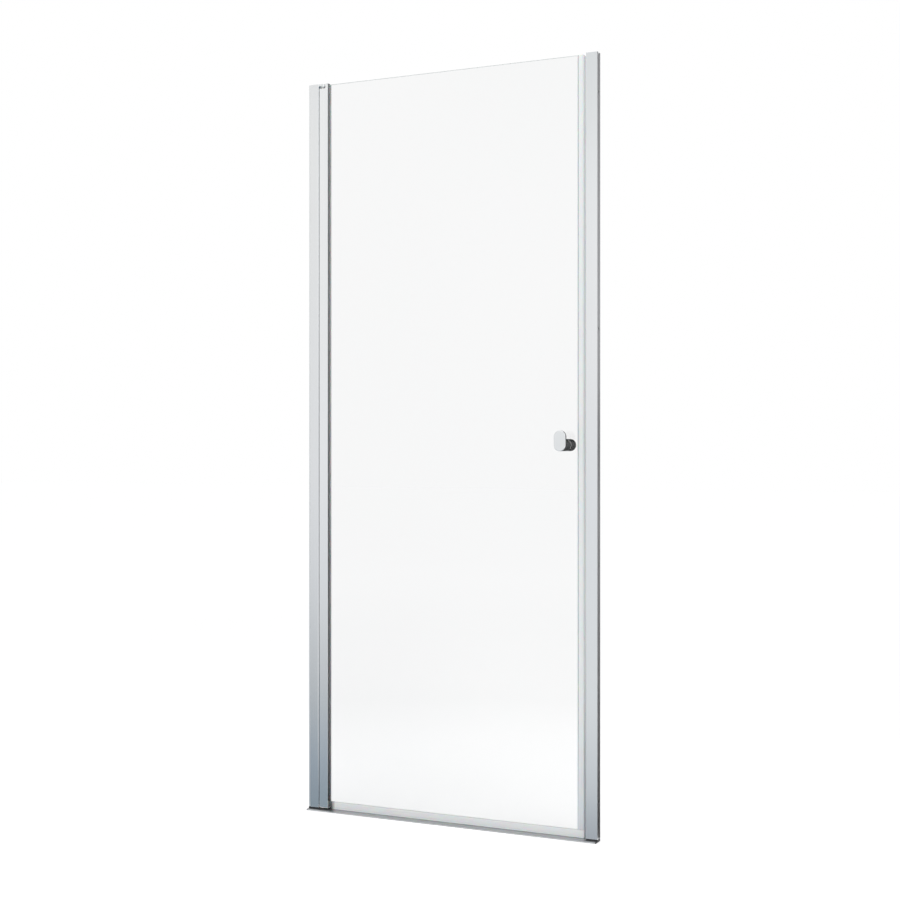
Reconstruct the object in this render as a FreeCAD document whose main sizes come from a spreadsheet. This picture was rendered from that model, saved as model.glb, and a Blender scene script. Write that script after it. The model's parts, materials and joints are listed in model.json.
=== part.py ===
import FreeCAD, Part
import math
import os

import Sketcher

# A pivot shower door for a niche: one glass leaf that turns on two pins, between two posts that
# slip over channels screwed to the walls, above a low sill. Lengths are in millimetres.
# X runs along the door to the right, Y runs into the shower and Z runs up. The origin lies at
# tray level, halfway between the walls, in the middle plane of the glass.

doc = FreeCAD.newDocument("pivot_shower_door")

SIZES = (
    # the whole door
    ("door_width", "800", "wall to wall, over both channels"),
    ("door_height", "1900", "tray to the top of the posts"),
    ("face_to_glass", "16", "front face of the posts to the middle of the glass"),
    ("profile_depth", "21", "front to rear of the posts and the stile"),
    ("profile_wall", "1.5", "wall of the posts and the stile"),
    ("corner_radius", "0.8", "small outer corners of the extrusions"),
    ("glass_thickness", "5", "toughened glass"),
    # wall channels, and the ports in the posts that the end screws bite in
    ("channel_reveal", "5.2", "strip of the hinge side channel that stays in view"),
    ("channel_web", "1.8", "web that lies on the wall"),
    ("channel_wall", "1.5", "flanges that reach into the post"),
    ("channel_lip", "1.4", "inward lip at the end of each flange"),
    ("slide_fit", "0.3", "gap between a channel and its post"),
    ("wall_hole_radius", "3", "screw holes in the web"),
    ("wall_hole_inset", "95", "tray or top of the door to the nearest hole"),
    ("wall_hole_count", "4", "holes in each channel, at equal distances"),
    ("port_length", "5.4", "reach of the two fingers of a screw port"),
    ("port_width", "3.2", "space between the fingers"),
    ("port_wall", "1.2", "thickness of a finger"),
    ("port_mouth", "2", "slit between the finger tips"),
    ("port_gap", "0.4", "clear space between a channel and what stands in the post"),
    # hinge side
    ("hinge_post_width", "24.5", "along the door"),
    ("hinge_gap", "0.8", "upright joint between the post and the stile"),
    ("post_edge_radius", "2.5", "front edge of the post beside the joint"),
    ("stile_width", "26.7", "along the door"),
    ("stile_nose_radius", "4", "front edge of the stile, which swings past the post"),
    ("pocket_depth", "10.2", "glazing pocket of the stile"),
    ("pocket_wall", "1.2", "wall in front of the glazing pocket"),
    ("gasket_front", "0.7", "glazing gasket in front of the glass"),
    ("gasket_rear", "0.9", "glazing gasket behind the glass"),
    ("gasket_lip", "0.8", "bead of a gasket that shows beside the stile"),
    ("glass_edge_gap", "1", "space between the glass and the bottom of the pocket"),
    # pivots
    ("pivot_inset", "10", "joint side of the stile to the pivot axis"),
    ("pivot_setback", "6.2", "front face to the pivot axis"),
    ("pin_radius", "2.5", "both pivot pins"),
    ("pin_fit", "0.05", "running clearance of a pin in its bush"),
    ("pin_seat_fit", "0.02", "gap round a pin in its bracket"),
    ("pin_engagement", "18", "length of a pin inside its bush"),
    ("bush_wall", "1.05", "wall of the bushes"),
    ("bush_length", "20", "both bushes"),
    ("bush_flange_radius", "4.6", "collar of the top bush"),
    ("bush_flange_height", "1.5", "collar of the top bush"),
    ("boss_radius", "5", "boss of the top bracket that holds the pin"),
    ("boss_height", "8.5", "boss of the top bracket"),
    ("boss_bevel", "2", "bevelled lower rim of the boss"),
    ("boss_skin", "1.2", "metal left above the pin"),
    ("arm_width", "7.2", "arm from the post to the boss"),
    ("swing_clearance", "0.4", "space round the boss inside the notch"),
    ("notch_depth", "13", "notch in the top of the stile"),
    ("notch_reach", "10", "pivot axis to the far side of the notch"),
    ("notch_radius", "5", "lower corner of the notch"),
    ("plug_length", "30", "both plugs of the stile"),
    ("plug_fit", "0.1", "gap between a plug and the stile"),
    ("plug_drop", "0.6", "top of the plug below the top of the stile"),
    ("plug_flange", "1.2", "flange of the lower plug, which carries the stile"),
    ("plug_flange_inset", "0.3", "flange set back from the faces of the stile"),
    ("thrust_radius", "6", "washer that carries the leaf"),
    ("thrust_height", "1", "washer that carries the leaf"),
    # caps and feet of the posts
    ("cap_height", "5", "top cap and top bracket"),
    ("foot_height", "4.3", "black feet between the sill and the posts"),
    ("foot_inset", "0.4", "foot set back from the faces of the post"),
    ("foot_floor", "1", "foot left below the bottom pin"),
    ("rebate_fit", "0.3", "gap between a foot and the water bar"),
    ("spigot_length", "14", "tongue of a cap or foot inside the channel"),
    ("spigot_fit", "0.4", "gap between a tongue and the channel"),
    ("spigot_chamfer", "1", "lead-in of a tongue"),
    ("cap_notch_width", "7", "prying notch of the strike side cap"),
    ("cap_notch_height", "3", "prying notch of the strike side cap"),
    ("cap_notch_depth", "2.4", "prying notch of the strike side cap"),
    # strike side
    ("strike_post_width", "29", "along the door"),
    ("slot_width", "5.6", "seal slot inside the post"),
    ("slot_mouth", "2.6", "seal slot at the face of the post"),
    ("slot_depth", "1.9", "seal slot behind the wall"),
    ("slot_wall", "1.2", "wall round the seal slot"),
    ("slot_fit", "0.2", "gap round the anchor of the strike seal"),
    ("strike_seal_reach", "9", "strike seal in front of the post"),
    ("strike_seal_nose", "5", "magnet chamber of the strike seal"),
    ("seal_gap", "0.7", "between the two magnet seals"),
    ("door_seal_nose", "5.8", "magnet chamber beyond the edge of the glass"),
    ("seal_leg_length", "11.2", "legs of the door seal on the glass"),
    ("seal_leg_thickness", "0.9", "legs of the door seals"),
    ("magnet_wall", "0.9", "wall of the magnet chambers"),
    ("magnet_fit", "0.1", "gap round a magnet strip"),
    # sill
    ("sill_projection", "11", "sill in front of the posts"),
    ("sill_deck", "3.2", "height of the flat top"),
    ("sill_nose_height", "2", "upright front edge"),
    ("sill_nose_run", "3", "slope from the front edge up to the flat top"),
    ("sill_ridge_height", "2.3", "water bar above the flat top"),
    ("sill_ridge_front", "1.5", "middle of the glass to the water bar"),
    ("sill_ridge_round", "0.8", "rounded top of the water bar"),
    ("sill_groove_height", "1.7", "sealant grooves in the underside"),
    ("sill_groove_inset", "3.5", "edge of the sill to a groove"),
    ("sill_rib", "1.6", "rib between the grooves"),
    ("sill_cap_thickness", "2", "black end caps"),
    ("sill_cap_tongue", "6", "tongues of an end cap in the grooves"),
    ("sill_cap_fit", "0.1", "gap round the tongues"),
    # glass and its lower seal
    ("glass_drop", "0.8", "top of the posts to the top of the glass"),
    ("glass_rise", "9.8", "flat top of the sill to the glass"),
    ("glass_chamfer", "0.5", "ground edges"),
    ("drip_leg_height", "10.3", "legs of the lower seal on the glass"),
    ("drip_web", "1.2", "web under the glass"),
    ("drip_gap", "0.5", "upright seal to the lower seal"),
    ("drip_end_gap", "0.3", "glazing gaskets to the lower seal"),
    ("fin_thickness", "0.9", "wiping fin"),
    ("fin_setback", "0.8", "fin behind the front of the leg"),
    ("fin_clearance", "0.6", "fin above the sill"),
    ("deflector_reach", "0.9", "inward fin beyond the rear leg"),
    ("deflector_drop", "4.4", "height of the inward fin"),
    # knob
    ("knob_inset", "43.5", "free edge of the glass to the knob axis"),
    ("knob_height", "955", "knob axis above the tray"),
    ("knob_projection", "40", "middle of the glass to either end of the knob"),
    ("knob_plate_thickness", "8", "oblong front plate"),
    ("knob_plate_rise", "20", "between the two round ends of the plate"),
    ("knob_plate_radius", "15.2", "round ends of the plate"),
    ("knob_stem_radius", "14.8", "round stem and inner knob"),
    ("knob_edge_bevel", "1", "bevelled front edge of the plate"),
    ("knob_end_bevel", "1.6", "bevelled end of the inner knob"),
    ("knob_washer_radius", "14.2", "soft washers on the glass"),
    ("knob_washer_thickness", "1", "soft washers on the glass"),
    ("glass_hole_radius", "6", "knob hole in the glass"),
    ("sleeve_fit", "0.1", "gap between the sleeve and the glass"),
    ("stud_radius", "3", "stud through the glass"),
    ("stud_fit", "0.1", "gap round the stud"),
    ("stud_outer_reach", "17", "middle of the glass to the outer end of the stud"),
    ("stud_inner_reach", "24", "middle of the glass to the inner end of the stud"),
    ("stud_end_gap", "1", "space beyond each end of the stud"),
    ("grub_radius", "2", "set screw of the inner knob"),
    ("grub_sink", "0.8", "set screw below the surface"),
    ("grub_fit", "0.05", "gap round the set screw"),
    ("grub_place", "12", "middle of the glass to the set screw"),
    # screws
    ("screw_radius", "1.5", "shank of every frame screw"),
    ("screw_fit", "0.15", "gap round a shank in a drilled hole"),
    ("rear_head_radius", "3.1", "heads on the rear faces"),
    ("rear_head_height", "2", "heads on the rear faces"),
    ("post_screw_inset", "150", "tray or top of the door to the nearest clamping screw"),
    ("post_screw_count", "2", "clamping screws in each post, at equal distances"),
    ("plug_screw_length", "6", "shank of the screw in each plug"),
    ("plug_screw_inset", "14", "end of the tube to the screw in its plug"),
    ("sunk_head_radius", "2.9", "sunk heads in the pivot brackets"),
    ("sunk_head_height", "1.5", "sunk heads in the pivot brackets"),
    ("sunk_screw_length", "14", "shank under a sunk head"),
    ("sunk_head_fit", "0.1", "gap round a sunk head"),
)

sheet = doc.addObject("Spreadsheet::Sheet", "Sizes")
for row, (alias, number, meaning) in enumerate(SIZES, start=1):
    sheet.set(f"A{row}", meaning)
    sheet.set(f"B{row}", number)
    sheet.setAlias(f"B{row}", alias)
doc.recompute()


class Length:
    """A size of the sheet, or one worked out from such sizes, together with its formula."""

    def __init__(self, value, formula):
        self.value = float(value)
        self.formula = formula

    def __add__(self, other):
        other = as_length(other)
        return Length(self.value + other.value, f"({self.formula} + {other.formula})")

    def __sub__(self, other):
        other = as_length(other)
        return Length(self.value - other.value, f"({self.formula} - {other.formula})")

    def __mul__(self, other):
        other = as_length(other)
        return Length(self.value * other.value, f"({self.formula} * {other.formula})")

    def __truediv__(self, other):
        other = as_length(other)
        return Length(self.value / other.value, f"({self.formula} / {other.formula})")

    def __radd__(self, other):
        return as_length(other) + self

    def __rmul__(self, other):
        return as_length(other) * self

    def __neg__(self):
        return as_length(0) - self


def as_length(size):
    return size if isinstance(size, Length) else Length(size, f"({float(size)})")


def bind(thing, prop, size):
    """Ties one property of an object to a size."""
    thing.setExpression(prop, as_length(size).formula)


class Sheet:
    """The sizes by name: s.door_width is the cell of that alias."""

    def __getattr__(self, alias):
        return Length(sheet.get(alias), f"Sizes.{alias}")


s = Sheet()
parts = []
tolerance = 0.01


# ---- sketches and features ----


def new_body(label, x=0, y=0, z=0):
    body = doc.addObject("PartDesign::Body", label)
    body.Label = label
    body.AllowCompound = True
    for axis, place in zip("xyz", (x, y, z)):
        bind(body, f"Placement.Base.{axis}", place)
    parts.append(body)
    return body


def new_sketch(body, role, right=0, up=0, out=0):
    """A sketch on one of the body's own planes, moved along its own three directions."""
    sketch = body.newObject("Sketcher::SketchObject", f"{body.Label}_sketch")
    plane = next(p for p in body.Origin.OriginFeatures if p.Role == role)
    sketch.AttachmentSupport = [(plane, "")]
    sketch.MapMode = "FlatFace"
    for axis, offset in zip("xyz", (right, up, out)):
        bind(sketch, f"AttachmentOffset.Base.{axis}", offset)
    sketch.Visibility = False
    return sketch


def place_point(sketch, geometry, point, x, y):
    for direction, place in (("DistanceX", x), ("DistanceY", y)):
        value = as_length(place).value
        rule = sketch.addConstraint(Sketcher.Constraint(direction, -1, 1, geometry, point, value))
        bind(sketch, f"Constraints[{rule}]", place)


def set_radius(sketch, geometry, radius):
    rule = sketch.addConstraint(Sketcher.Constraint("Radius", geometry, radius.value))
    bind(sketch, f"Constraints[{rule}]", radius)


def circle(sketch, x, y, radius):
    x, y, radius = as_length(x), as_length(y), as_length(radius)
    centre = FreeCAD.Vector(x.value, y.value, 0)
    ring = sketch.addGeometry(Part.Circle(centre, FreeCAD.Vector(0, 0, 1), radius.value))
    place_point(sketch, ring, 3, x, y)
    set_radius(sketch, ring, radius)


def heading(start, end):
    """The step along X or Y, of length one, from one corner to the next."""
    across, along = end[0].value - start[0].value, end[1].value - start[1].value
    if abs(across) > abs(along):
        return (math.copysign(1, across), 0)
    return (0, math.copysign(1, along))


def stepped(spot, step, size):
    return tuple(c + way * size if way else c for c, way in zip(spot, step))


def vector(spot):
    return FreeCAD.Vector(spot[0].value, spot[1].value, 0)


def outline(sketch, corners):
    """Draws a closed outline of (x, y) corners. A third number rounds a square corner."""
    corners = [tuple(as_length(c) for c in corner) for corner in corners]
    stops, arcs = [], []
    for i, corner in enumerate(corners):
        spot = corner[:2]
        if len(corner) == 2:
            stops.append((spot, spot))
            arcs.append(None)
            continue
        into = heading(corners[i - 1], corner)
        out = heading(corner, corners[(i + 1) % len(corners)])
        start = stepped(spot, into, -1 * corner[2])
        stops.append((start, stepped(spot, out, corner[2])))
        arcs.append((vector(stepped(start, out, corner[2])), corner[2]))
    pieces = []
    for i, (start, end) in enumerate(stops):
        if arcs[i]:
            pieces.append((*add_arc(sketch, vector(start), vector(end), *arcs[i]), start))
        line = Part.LineSegment(vector(end), vector(stops[(i + 1) % len(stops)][0]))
        pieces.append((sketch.addGeometry(line), 1, 2, end))
    for i, (geometry, first, last, start) in enumerate(pieces):
        follower = pieces[(i + 1) % len(pieces)]
        sketch.addConstraint(
            Sketcher.Constraint("Coincident", geometry, last, follower[0], follower[1])
        )
        place_point(sketch, geometry, first, *start)


def add_arc(sketch, start, end, centre, radius):
    """Adds a quarter arc. Gives its number, and which of its ends come first and last."""
    from_centre, to_end = start - centre, end - centre
    turns_left = from_centre.cross(to_end).z > 0
    if turns_left:
        low, high, ends = from_centre, to_end, (1, 2)
    else:
        low, high, ends = to_end, from_centre, (2, 1)
    angle = math.atan2(low.y, low.x)
    ring = Part.Circle(centre, FreeCAD.Vector(0, 0, 1), radius.value)
    arc = sketch.addGeometry(Part.ArcOfCircle(ring, angle, angle + low.getAngle(high)))
    set_radius(sketch, arc, radius)
    return (arc, *ends)


def pad(body, sketch, length, reverse=False):
    feature = body.newObject("PartDesign::Pad", f"{body.Label}_pad")
    feature.Profile = sketch
    feature.Reversed = reverse
    bind(feature, "Length", length)
    doc.recompute()
    return feature


def check_cut(body, volume_before):
    doc.recompute()
    if body.Shape.Volume > volume_before - tolerance:
        raise RuntimeError(f"a cut in {body.Label} removes nothing")


def pocket(body, sketch, depth, reverse=False, both_ways=False):
    """Cuts against the sketch's normal, along it if reversed, or depth each way."""
    before = body.Shape.Volume
    feature = body.newObject("PartDesign::Pocket", f"{body.Label}_pocket")
    feature.Profile = sketch
    feature.Reversed = reverse
    feature.Midplane = both_ways
    bind(feature, "Length", 2 * as_length(depth) if both_ways else depth)
    check_cut(body, before)
    return feature


def drill(body, role, right, up, out, radius, depth):
    """A round hole that runs from its plane by the depth each way."""
    sketch = new_sketch(body, role, out=out)
    circle(sketch, right, up, radius)
    return pocket(body, sketch, depth, both_ways=True)


def turned(body, role, profile, right=0, up=0, out=0, cut=False):
    """Turns (radius, height) corners about the upright line through a spot of the plane."""
    sketch = new_sketch(body, role, right, up, out)
    outline(sketch, profile)
    before = body.Shape.Volume if cut else 0
    kind = "Groove" if cut else "Revolution"
    feature = body.newObject(f"PartDesign::{kind}", f"{body.Label}_{kind.lower()}")
    feature.Profile = sketch
    feature.ReferenceAxis = (sketch, ["V_Axis"])
    feature.Angle = 360
    if cut:
        check_cut(body, before)
    doc.recompute()
    return feature


def repeat_up(body, feature, pitch, count):
    pattern = body.newObject("PartDesign::LinearPattern", f"{body.Label}_pattern")
    pattern.Originals = [feature]
    upright = next(a for a in body.Origin.OriginFeatures if a.Role == "Z_Axis")
    pattern.Direction = (upright, [""])
    bind(pattern, "Length", pitch * (count - 1))
    bind(pattern, "Occurrences", count)
    body.Tip = pattern
    doc.recompute()


def edges_on(body, axis, place):
    """Names the edges of the body's last feature that lie in the plane across an axis."""
    level = as_length(place).value
    names = []
    for number, edge in enumerate(body.Tip.Shape.Edges, start=1):
        box = edge.BoundBox
        low, high = getattr(box, f"{axis}Min"), getattr(box, f"{axis}Max")
        if abs(low - level) < tolerance and abs(high - level) < tolerance:
            names.append(f"Edge{number}")
    return names


def ease(body, kind, names, size):
    """Rounds or bevels edges of the body's last feature."""
    base = body.Tip
    feature = body.newObject(f"PartDesign::{kind}", f"{body.Label}_{kind.lower()}")
    feature.Base = (base, names)
    bind(feature, "Radius" if kind == "Fillet" else "Size", size)
    doc.recompute()


def rectangle(x_low, x_high, y_low, y_high):
    return [(x_low, y_low), (x_high, y_low), (x_high, y_high), (x_low, y_high)]


def primitive(kind, name, place, direction, **sizes):
    """A Part primitive along a direction, whose sizes and place are bound to the sheet."""
    piece = doc.addObject(f"Part::{kind}", name)
    for size, value in sizes.items():
        bind(piece, size, value)
    upright = FreeCAD.Vector(0, 0, 1)
    piece.Placement.Rotation = FreeCAD.Rotation(upright, FreeCAD.Vector(*direction))
    for axis, position in zip("xyz", place):
        bind(piece, f"Placement.Base.{axis}", position)
    return piece


# ---- places that several pieces share ----

half_width = s.door_width / 2
left_x = -half_width
right_x = half_width
front_y = -s.face_to_glass
rear_y = front_y + s.profile_depth
inner_front_y = front_y + s.profile_wall
inner_rear_y = rear_y - s.profile_wall
middle_y = (front_y + rear_y) / 2
top_z = s.door_height
deck_z = s.sill_deck
post_z = deck_z + s.foot_height
cap_z = top_z - s.cap_height
post_length = cap_z - post_z

glass_front_y = -s.glass_thickness / 2
glass_rear_y = s.glass_thickness / 2
glass_z = deck_z + s.glass_rise
glass_top_z = top_z - s.glass_drop

post_left_x = left_x + s.channel_reveal
post_right_x = post_left_x + s.hinge_post_width
stile_left_x = post_right_x + s.hinge_gap
stile_right_x = stile_left_x + s.stile_width
plug_z = post_z + s.thrust_height
stile_z = plug_z + s.plug_flange
pocket_x = stile_right_x - s.pocket_depth
tube_right_x = pocket_x - s.profile_wall
pocket_front_y = glass_front_y - s.gasket_front
pocket_rear_y = glass_rear_y + s.gasket_rear
glass_left_x = pocket_x + s.glass_edge_gap

pivot_x = stile_left_x + s.pivot_inset
pivot_y = front_y + s.pivot_setback
notch_z = top_z - s.notch_depth
notch_rear_y = pivot_y + s.boss_radius + s.swing_clearance

strike_x = right_x - s.strike_post_width
strike_seal_x = strike_x - s.strike_seal_reach
door_seal_x = strike_seal_x - s.seal_gap
glass_right_x = door_seal_x - s.door_seal_nose
seal_front_y = glass_front_y - s.seal_leg_thickness
seal_rear_y = glass_rear_y + s.seal_leg_thickness

channel_front_y = inner_front_y + s.slide_fit
channel_rear_y = inner_rear_y - s.slide_fit
hinge_inner_x = post_right_x - s.profile_wall
strike_inner_x = strike_x + s.profile_wall
strike_slot_x = strike_inner_x + s.slot_depth
hinge_tip_x = hinge_inner_x - s.port_length - s.port_gap
strike_tip_x = strike_slot_x + s.slot_wall + s.port_gap
hinge_screw_x = hinge_inner_x - (s.port_length - s.port_wall) / 2

sill_front_y = front_y - s.sill_projection
ridge_y = s.sill_ridge_front
ridge_z = deck_z + s.sill_ridge_height

knob_x = glass_right_x - s.knob_inset
knob_z = s.knob_height
post_screw_hinge_x = (post_left_x + hinge_tip_x) / 2
post_screw_strike_x = (strike_tip_x + right_x) / 2
post_screw_pitch = (top_z - 2 * s.post_screw_inset) / (s.post_screw_count - 1)
wall_hole_pitch = (top_z - 2 * s.wall_hole_inset) / (s.wall_hole_count - 1)
stile_screw_x = (stile_left_x + tube_right_x) / 2
screw_hole_radius = s.screw_radius + s.screw_fit


# ---- wall channels and posts ----


def wall_channel(label, wall_x, inward, tip_x):
    """A U that opens away from its wall, with the screw holes in its web."""
    web_x = wall_x + inward * s.channel_web
    lip_x = tip_x - inward * s.channel_wall
    flange_front, flange_rear = channel_front_y + s.channel_wall, channel_rear_y - s.channel_wall
    lip_front, lip_rear = flange_front + s.channel_lip, flange_rear - s.channel_lip
    body = new_body(label, z=post_z)
    sketch = new_sketch(body, "XY_Plane")
    outline(
        sketch,
        [
            (wall_x, channel_front_y, s.corner_radius),
            (tip_x, channel_front_y),
            (tip_x, lip_front),
            (lip_x, lip_front),
            (lip_x, flange_front),
            (web_x, flange_front),
            (web_x, flange_rear),
            (lip_x, flange_rear),
            (lip_x, lip_rear),
            (tip_x, lip_rear),
            (tip_x, channel_rear_y),
            (wall_x, channel_rear_y, s.corner_radius),
        ],
    )
    pad(body, sketch, post_length)
    first = s.wall_hole_inset - post_z
    hole = drill(body, "YZ_Plane", middle_y, first, wall_x, s.wall_hole_radius, 2 * s.channel_web)
    repeat_up(body, hole, wall_hole_pitch, s.wall_hole_count)


def screw_port():
    """Corners of the two fingers that an end screw bites between, from rear to front."""
    tip_x = hinge_inner_x - s.port_length
    hook_x = tip_x + s.port_wall
    half, mouth = s.port_width / 2, s.port_mouth / 2
    rear = [
        (hinge_inner_x, middle_y + half + s.port_wall),
        (tip_x, middle_y + half + s.port_wall),
        (tip_x, middle_y + mouth),
        (hook_x, middle_y + mouth),
        (hook_x, middle_y + half),
        (hinge_inner_x, middle_y + half),
    ]
    return rear + [(x, 2 * middle_y - side) for x, side in reversed(rear)]


def clamp_threads(body, x):
    """Threaded holes in the rear wall, for screws that press on the channel."""
    first = s.post_screw_inset - post_z
    thread = drill(body, "XZ_Plane", x, first, -rear_y, s.screw_radius, s.profile_wall)
    repeat_up(body, thread, post_screw_pitch, s.post_screw_count)


def hinge_post():
    """The post beside the pivots, open towards the wall."""
    body = new_body("hinge_post", z=post_z)
    sketch = new_sketch(body, "XY_Plane")
    outline(
        sketch,
        [
            (post_left_x, front_y),
            (post_right_x, front_y, s.post_edge_radius),
            (post_right_x, rear_y, s.corner_radius),
            (post_left_x, rear_y),
            (post_left_x, inner_rear_y),
            (hinge_inner_x, inner_rear_y),
            *screw_port(),
            (hinge_inner_x, inner_front_y, s.post_edge_radius - s.profile_wall),
            (post_left_x, inner_front_y),
        ],
    )
    pad(body, sketch, post_length)
    clamp_threads(body, post_screw_hinge_x)


def strike_post():
    """The post that the leaf closes against, with a slot for the strike seal."""
    slot, mouth = s.slot_width / 2, s.slot_mouth / 2
    slot_x = strike_slot_x
    body = new_body("strike_post", z=post_z)
    sketch = new_sketch(body, "XY_Plane")
    outline(
        sketch,
        [
            (strike_x, front_y, s.corner_radius),
            (right_x, front_y),
            (right_x, inner_front_y),
            (strike_inner_x, inner_front_y),
            (strike_inner_x, -slot - s.slot_wall),
            (slot_x + s.slot_wall, -slot - s.slot_wall),
            (slot_x + s.slot_wall, inner_rear_y),
            (right_x, inner_rear_y),
            (right_x, rear_y),
            (strike_x, rear_y, s.corner_radius),
            (strike_x, mouth),
            (strike_inner_x, mouth),
            (strike_inner_x, slot),
            (slot_x, slot),
            (slot_x, -slot),
            (strike_inner_x, -slot),
            (strike_inner_x, -mouth),
            (strike_x, -mouth),
        ],
    )
    pad(body, sketch, post_length)
    clamp_threads(body, post_screw_strike_x)


# ---- caps, brackets and feet at the ends of the posts ----


def tongue(body, wall_x, inward, tip_x, level, up):
    """A tongue that reaches from a cap or foot into the channel."""
    inset = s.channel_wall + s.channel_lip + s.spigot_fit
    sketch = new_sketch(body, "XY_Plane", out=level)
    near_x = wall_x + inward * (s.channel_web + s.spigot_fit)
    outline(
        sketch, rectangle(near_x, tip_x, channel_front_y + inset, channel_rear_y - inset)
    )
    pad(body, sketch, s.spigot_length, reverse=not up)
    end = level + s.spigot_length if up else level - s.spigot_length
    ease(body, "Chamfer", edges_on(body, "Z", end), s.spigot_chamfer)


def sunk_hole(body, face_z, through, up):
    """A hole for an end screw, with a sunk seat at face_z. The screw points up if up is 1."""
    seat = s.sunk_head_radius + s.sunk_head_fit
    seat_end = face_z + up * s.sunk_head_height
    turned(
        body,
        "XZ_Plane",
        [
            (0, face_z),
            (seat, face_z),
            (screw_hole_radius, seat_end),
            (screw_hole_radius, face_z + up * through),
            (0, face_z + up * through),
        ],
        right=hinge_screw_x,
        out=-middle_y,
        cut=True,
    )


def top_pivot_bracket():
    """Caps the hinge post and reaches into the notch of the stile, where its boss holds the pin."""
    body = new_body("top_pivot_bracket", z=cap_z)
    sketch = new_sketch(body, "XY_Plane")
    outline(
        sketch,
        [
            (left_x, channel_front_y),
            (post_left_x, channel_front_y),
            (post_left_x, front_y),
            (post_right_x, front_y, s.post_edge_radius),
            (post_right_x, rear_y, s.corner_radius),
            (post_left_x, rear_y),
            (post_left_x, channel_rear_y),
            (left_x, channel_rear_y),
        ],
    )
    pad(body, sketch, s.cap_height)
    tongue(body, left_x, 1, hinge_tip_x, as_length(0), up=False)
    arm = new_sketch(body, "XY_Plane")
    half = s.arm_width / 2
    outline(
        arm, rectangle(post_right_x - s.profile_wall, pivot_x, pivot_y - half, pivot_y + half)
    )
    pad(body, arm, s.cap_height)
    boss_z = s.cap_height - s.boss_height
    boss = new_sketch(body, "XY_Plane", out=boss_z)
    circle(boss, pivot_x, pivot_y, s.boss_radius)
    pad(body, boss, s.boss_height)
    ease(body, "Chamfer", edges_on(body, "Z", boss_z), s.boss_bevel)
    bore = new_sketch(body, "XY_Plane", out=boss_z)
    circle(bore, pivot_x, pivot_y, s.pin_radius + s.pin_seat_fit)
    pocket(body, bore, s.boss_height - s.boss_skin, reverse=True)
    sunk_hole(body, s.cap_height, s.cap_height, -1)


def strike_post_top_cap():
    """Caps the strike post. A notch beside the wall lets a blade lift it off."""
    body = new_body("strike_post_top_cap", z=cap_z)
    sketch = new_sketch(body, "XY_Plane")
    outline(
        sketch,
        [
            (strike_x, front_y, s.corner_radius),
            (right_x, front_y),
            (right_x, rear_y),
            (strike_x, rear_y, s.corner_radius),
        ],
    )
    pad(body, sketch, s.cap_height)
    tongue(body, right_x, -1, strike_tip_x, as_length(0), up=False)
    half = s.cap_notch_width / 2
    notch = new_sketch(body, "YZ_Plane", out=right_x)
    outline(
        notch,
        rectangle(
            middle_y - half, middle_y + half, s.cap_height - s.cap_notch_height, s.cap_height
        ),
    )
    pocket(body, notch, s.cap_notch_depth)


def foot(label, wall_x, free_x, inward, tip_x):
    """A foot that runs from the wall along the sill, with a rebate for the water bar."""
    low_y, high_y = front_y + s.foot_inset, rear_y - s.foot_inset
    rebate_y, rebate_z = ridge_y - s.rebate_fit, ridge_z + s.rebate_fit
    body = new_body(label)
    sketch = new_sketch(body, "YZ_Plane", out=wall_x)
    outline(
        sketch,
        [
            (low_y, deck_z),
            (rebate_y, deck_z),
            (rebate_y, rebate_z),
            (high_y, rebate_z),
            (high_y, post_z),
            (low_y, post_z),
        ],
    )
    pad(body, sketch, inward * (free_x - wall_x), reverse=inward < 0)
    tongue(body, wall_x, inward, tip_x, post_z, up=True)
    return body


def bottom_pivot_bracket():
    """The foot of the hinge post runs on under the stile and holds the lower pin."""
    free_x = stile_right_x - s.foot_inset
    body = foot("bottom_pivot_bracket", left_x, free_x, 1, hinge_tip_x)
    bore = new_sketch(body, "XY_Plane", out=post_z)
    circle(bore, pivot_x, pivot_y, s.pin_radius + s.pin_seat_fit)
    pocket(body, bore, s.foot_height - s.foot_floor)
    sunk_hole(body, deck_z, s.foot_height, 1)


def strike_post_foot():
    foot("strike_post_foot", right_x, strike_x + s.foot_inset, -1, strike_tip_x)


# ---- pivots ----


def pivot_pin(label, low_z, high_z):
    body = new_body(label, pivot_x, pivot_y, low_z)
    sketch = new_sketch(body, "XY_Plane")
    circle(sketch, 0, 0, s.pin_radius)
    pad(body, sketch, high_z - low_z)


def pivot_pins():
    bush_top_z = notch_z + s.bush_flange_height
    pivot_pin("top_pivot_pin", bush_top_z - s.pin_engagement, top_z - s.boss_skin)
    pivot_pin("bottom_pivot_pin", deck_z + s.foot_floor, plug_z + s.pin_engagement)


def bushes():
    """Plain bushes in the plugs of the stile. The top one has a collar above its plug."""
    bore = s.pin_radius + s.pin_fit
    outer = bore + s.bush_wall
    bottom = new_body("bottom_pivot_bush", pivot_x, pivot_y, plug_z)
    turned(bottom, "XZ_Plane", rectangle(bore, outer, 0, s.bush_length))
    top = new_body("top_pivot_bush", pivot_x, pivot_y, notch_z - s.bush_length)
    turned(
        top,
        "XZ_Plane",
        [
            (bore, 0),
            (outer, 0),
            (outer, s.bush_length),
            (s.bush_flange_radius, s.bush_length),
            (s.bush_flange_radius, s.bush_length + s.bush_flange_height),
            (bore, s.bush_length + s.bush_flange_height),
        ],
    )


def thrust_washer():
    body = new_body("thrust_washer", pivot_x, pivot_y, post_z)
    turned(
        body,
        "XZ_Plane",
        rectangle(s.pin_radius + s.pin_fit, s.thrust_radius, 0, s.thrust_height),
    )


# ---- the leaf: stile, plugs, glass and gaskets ----


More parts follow.
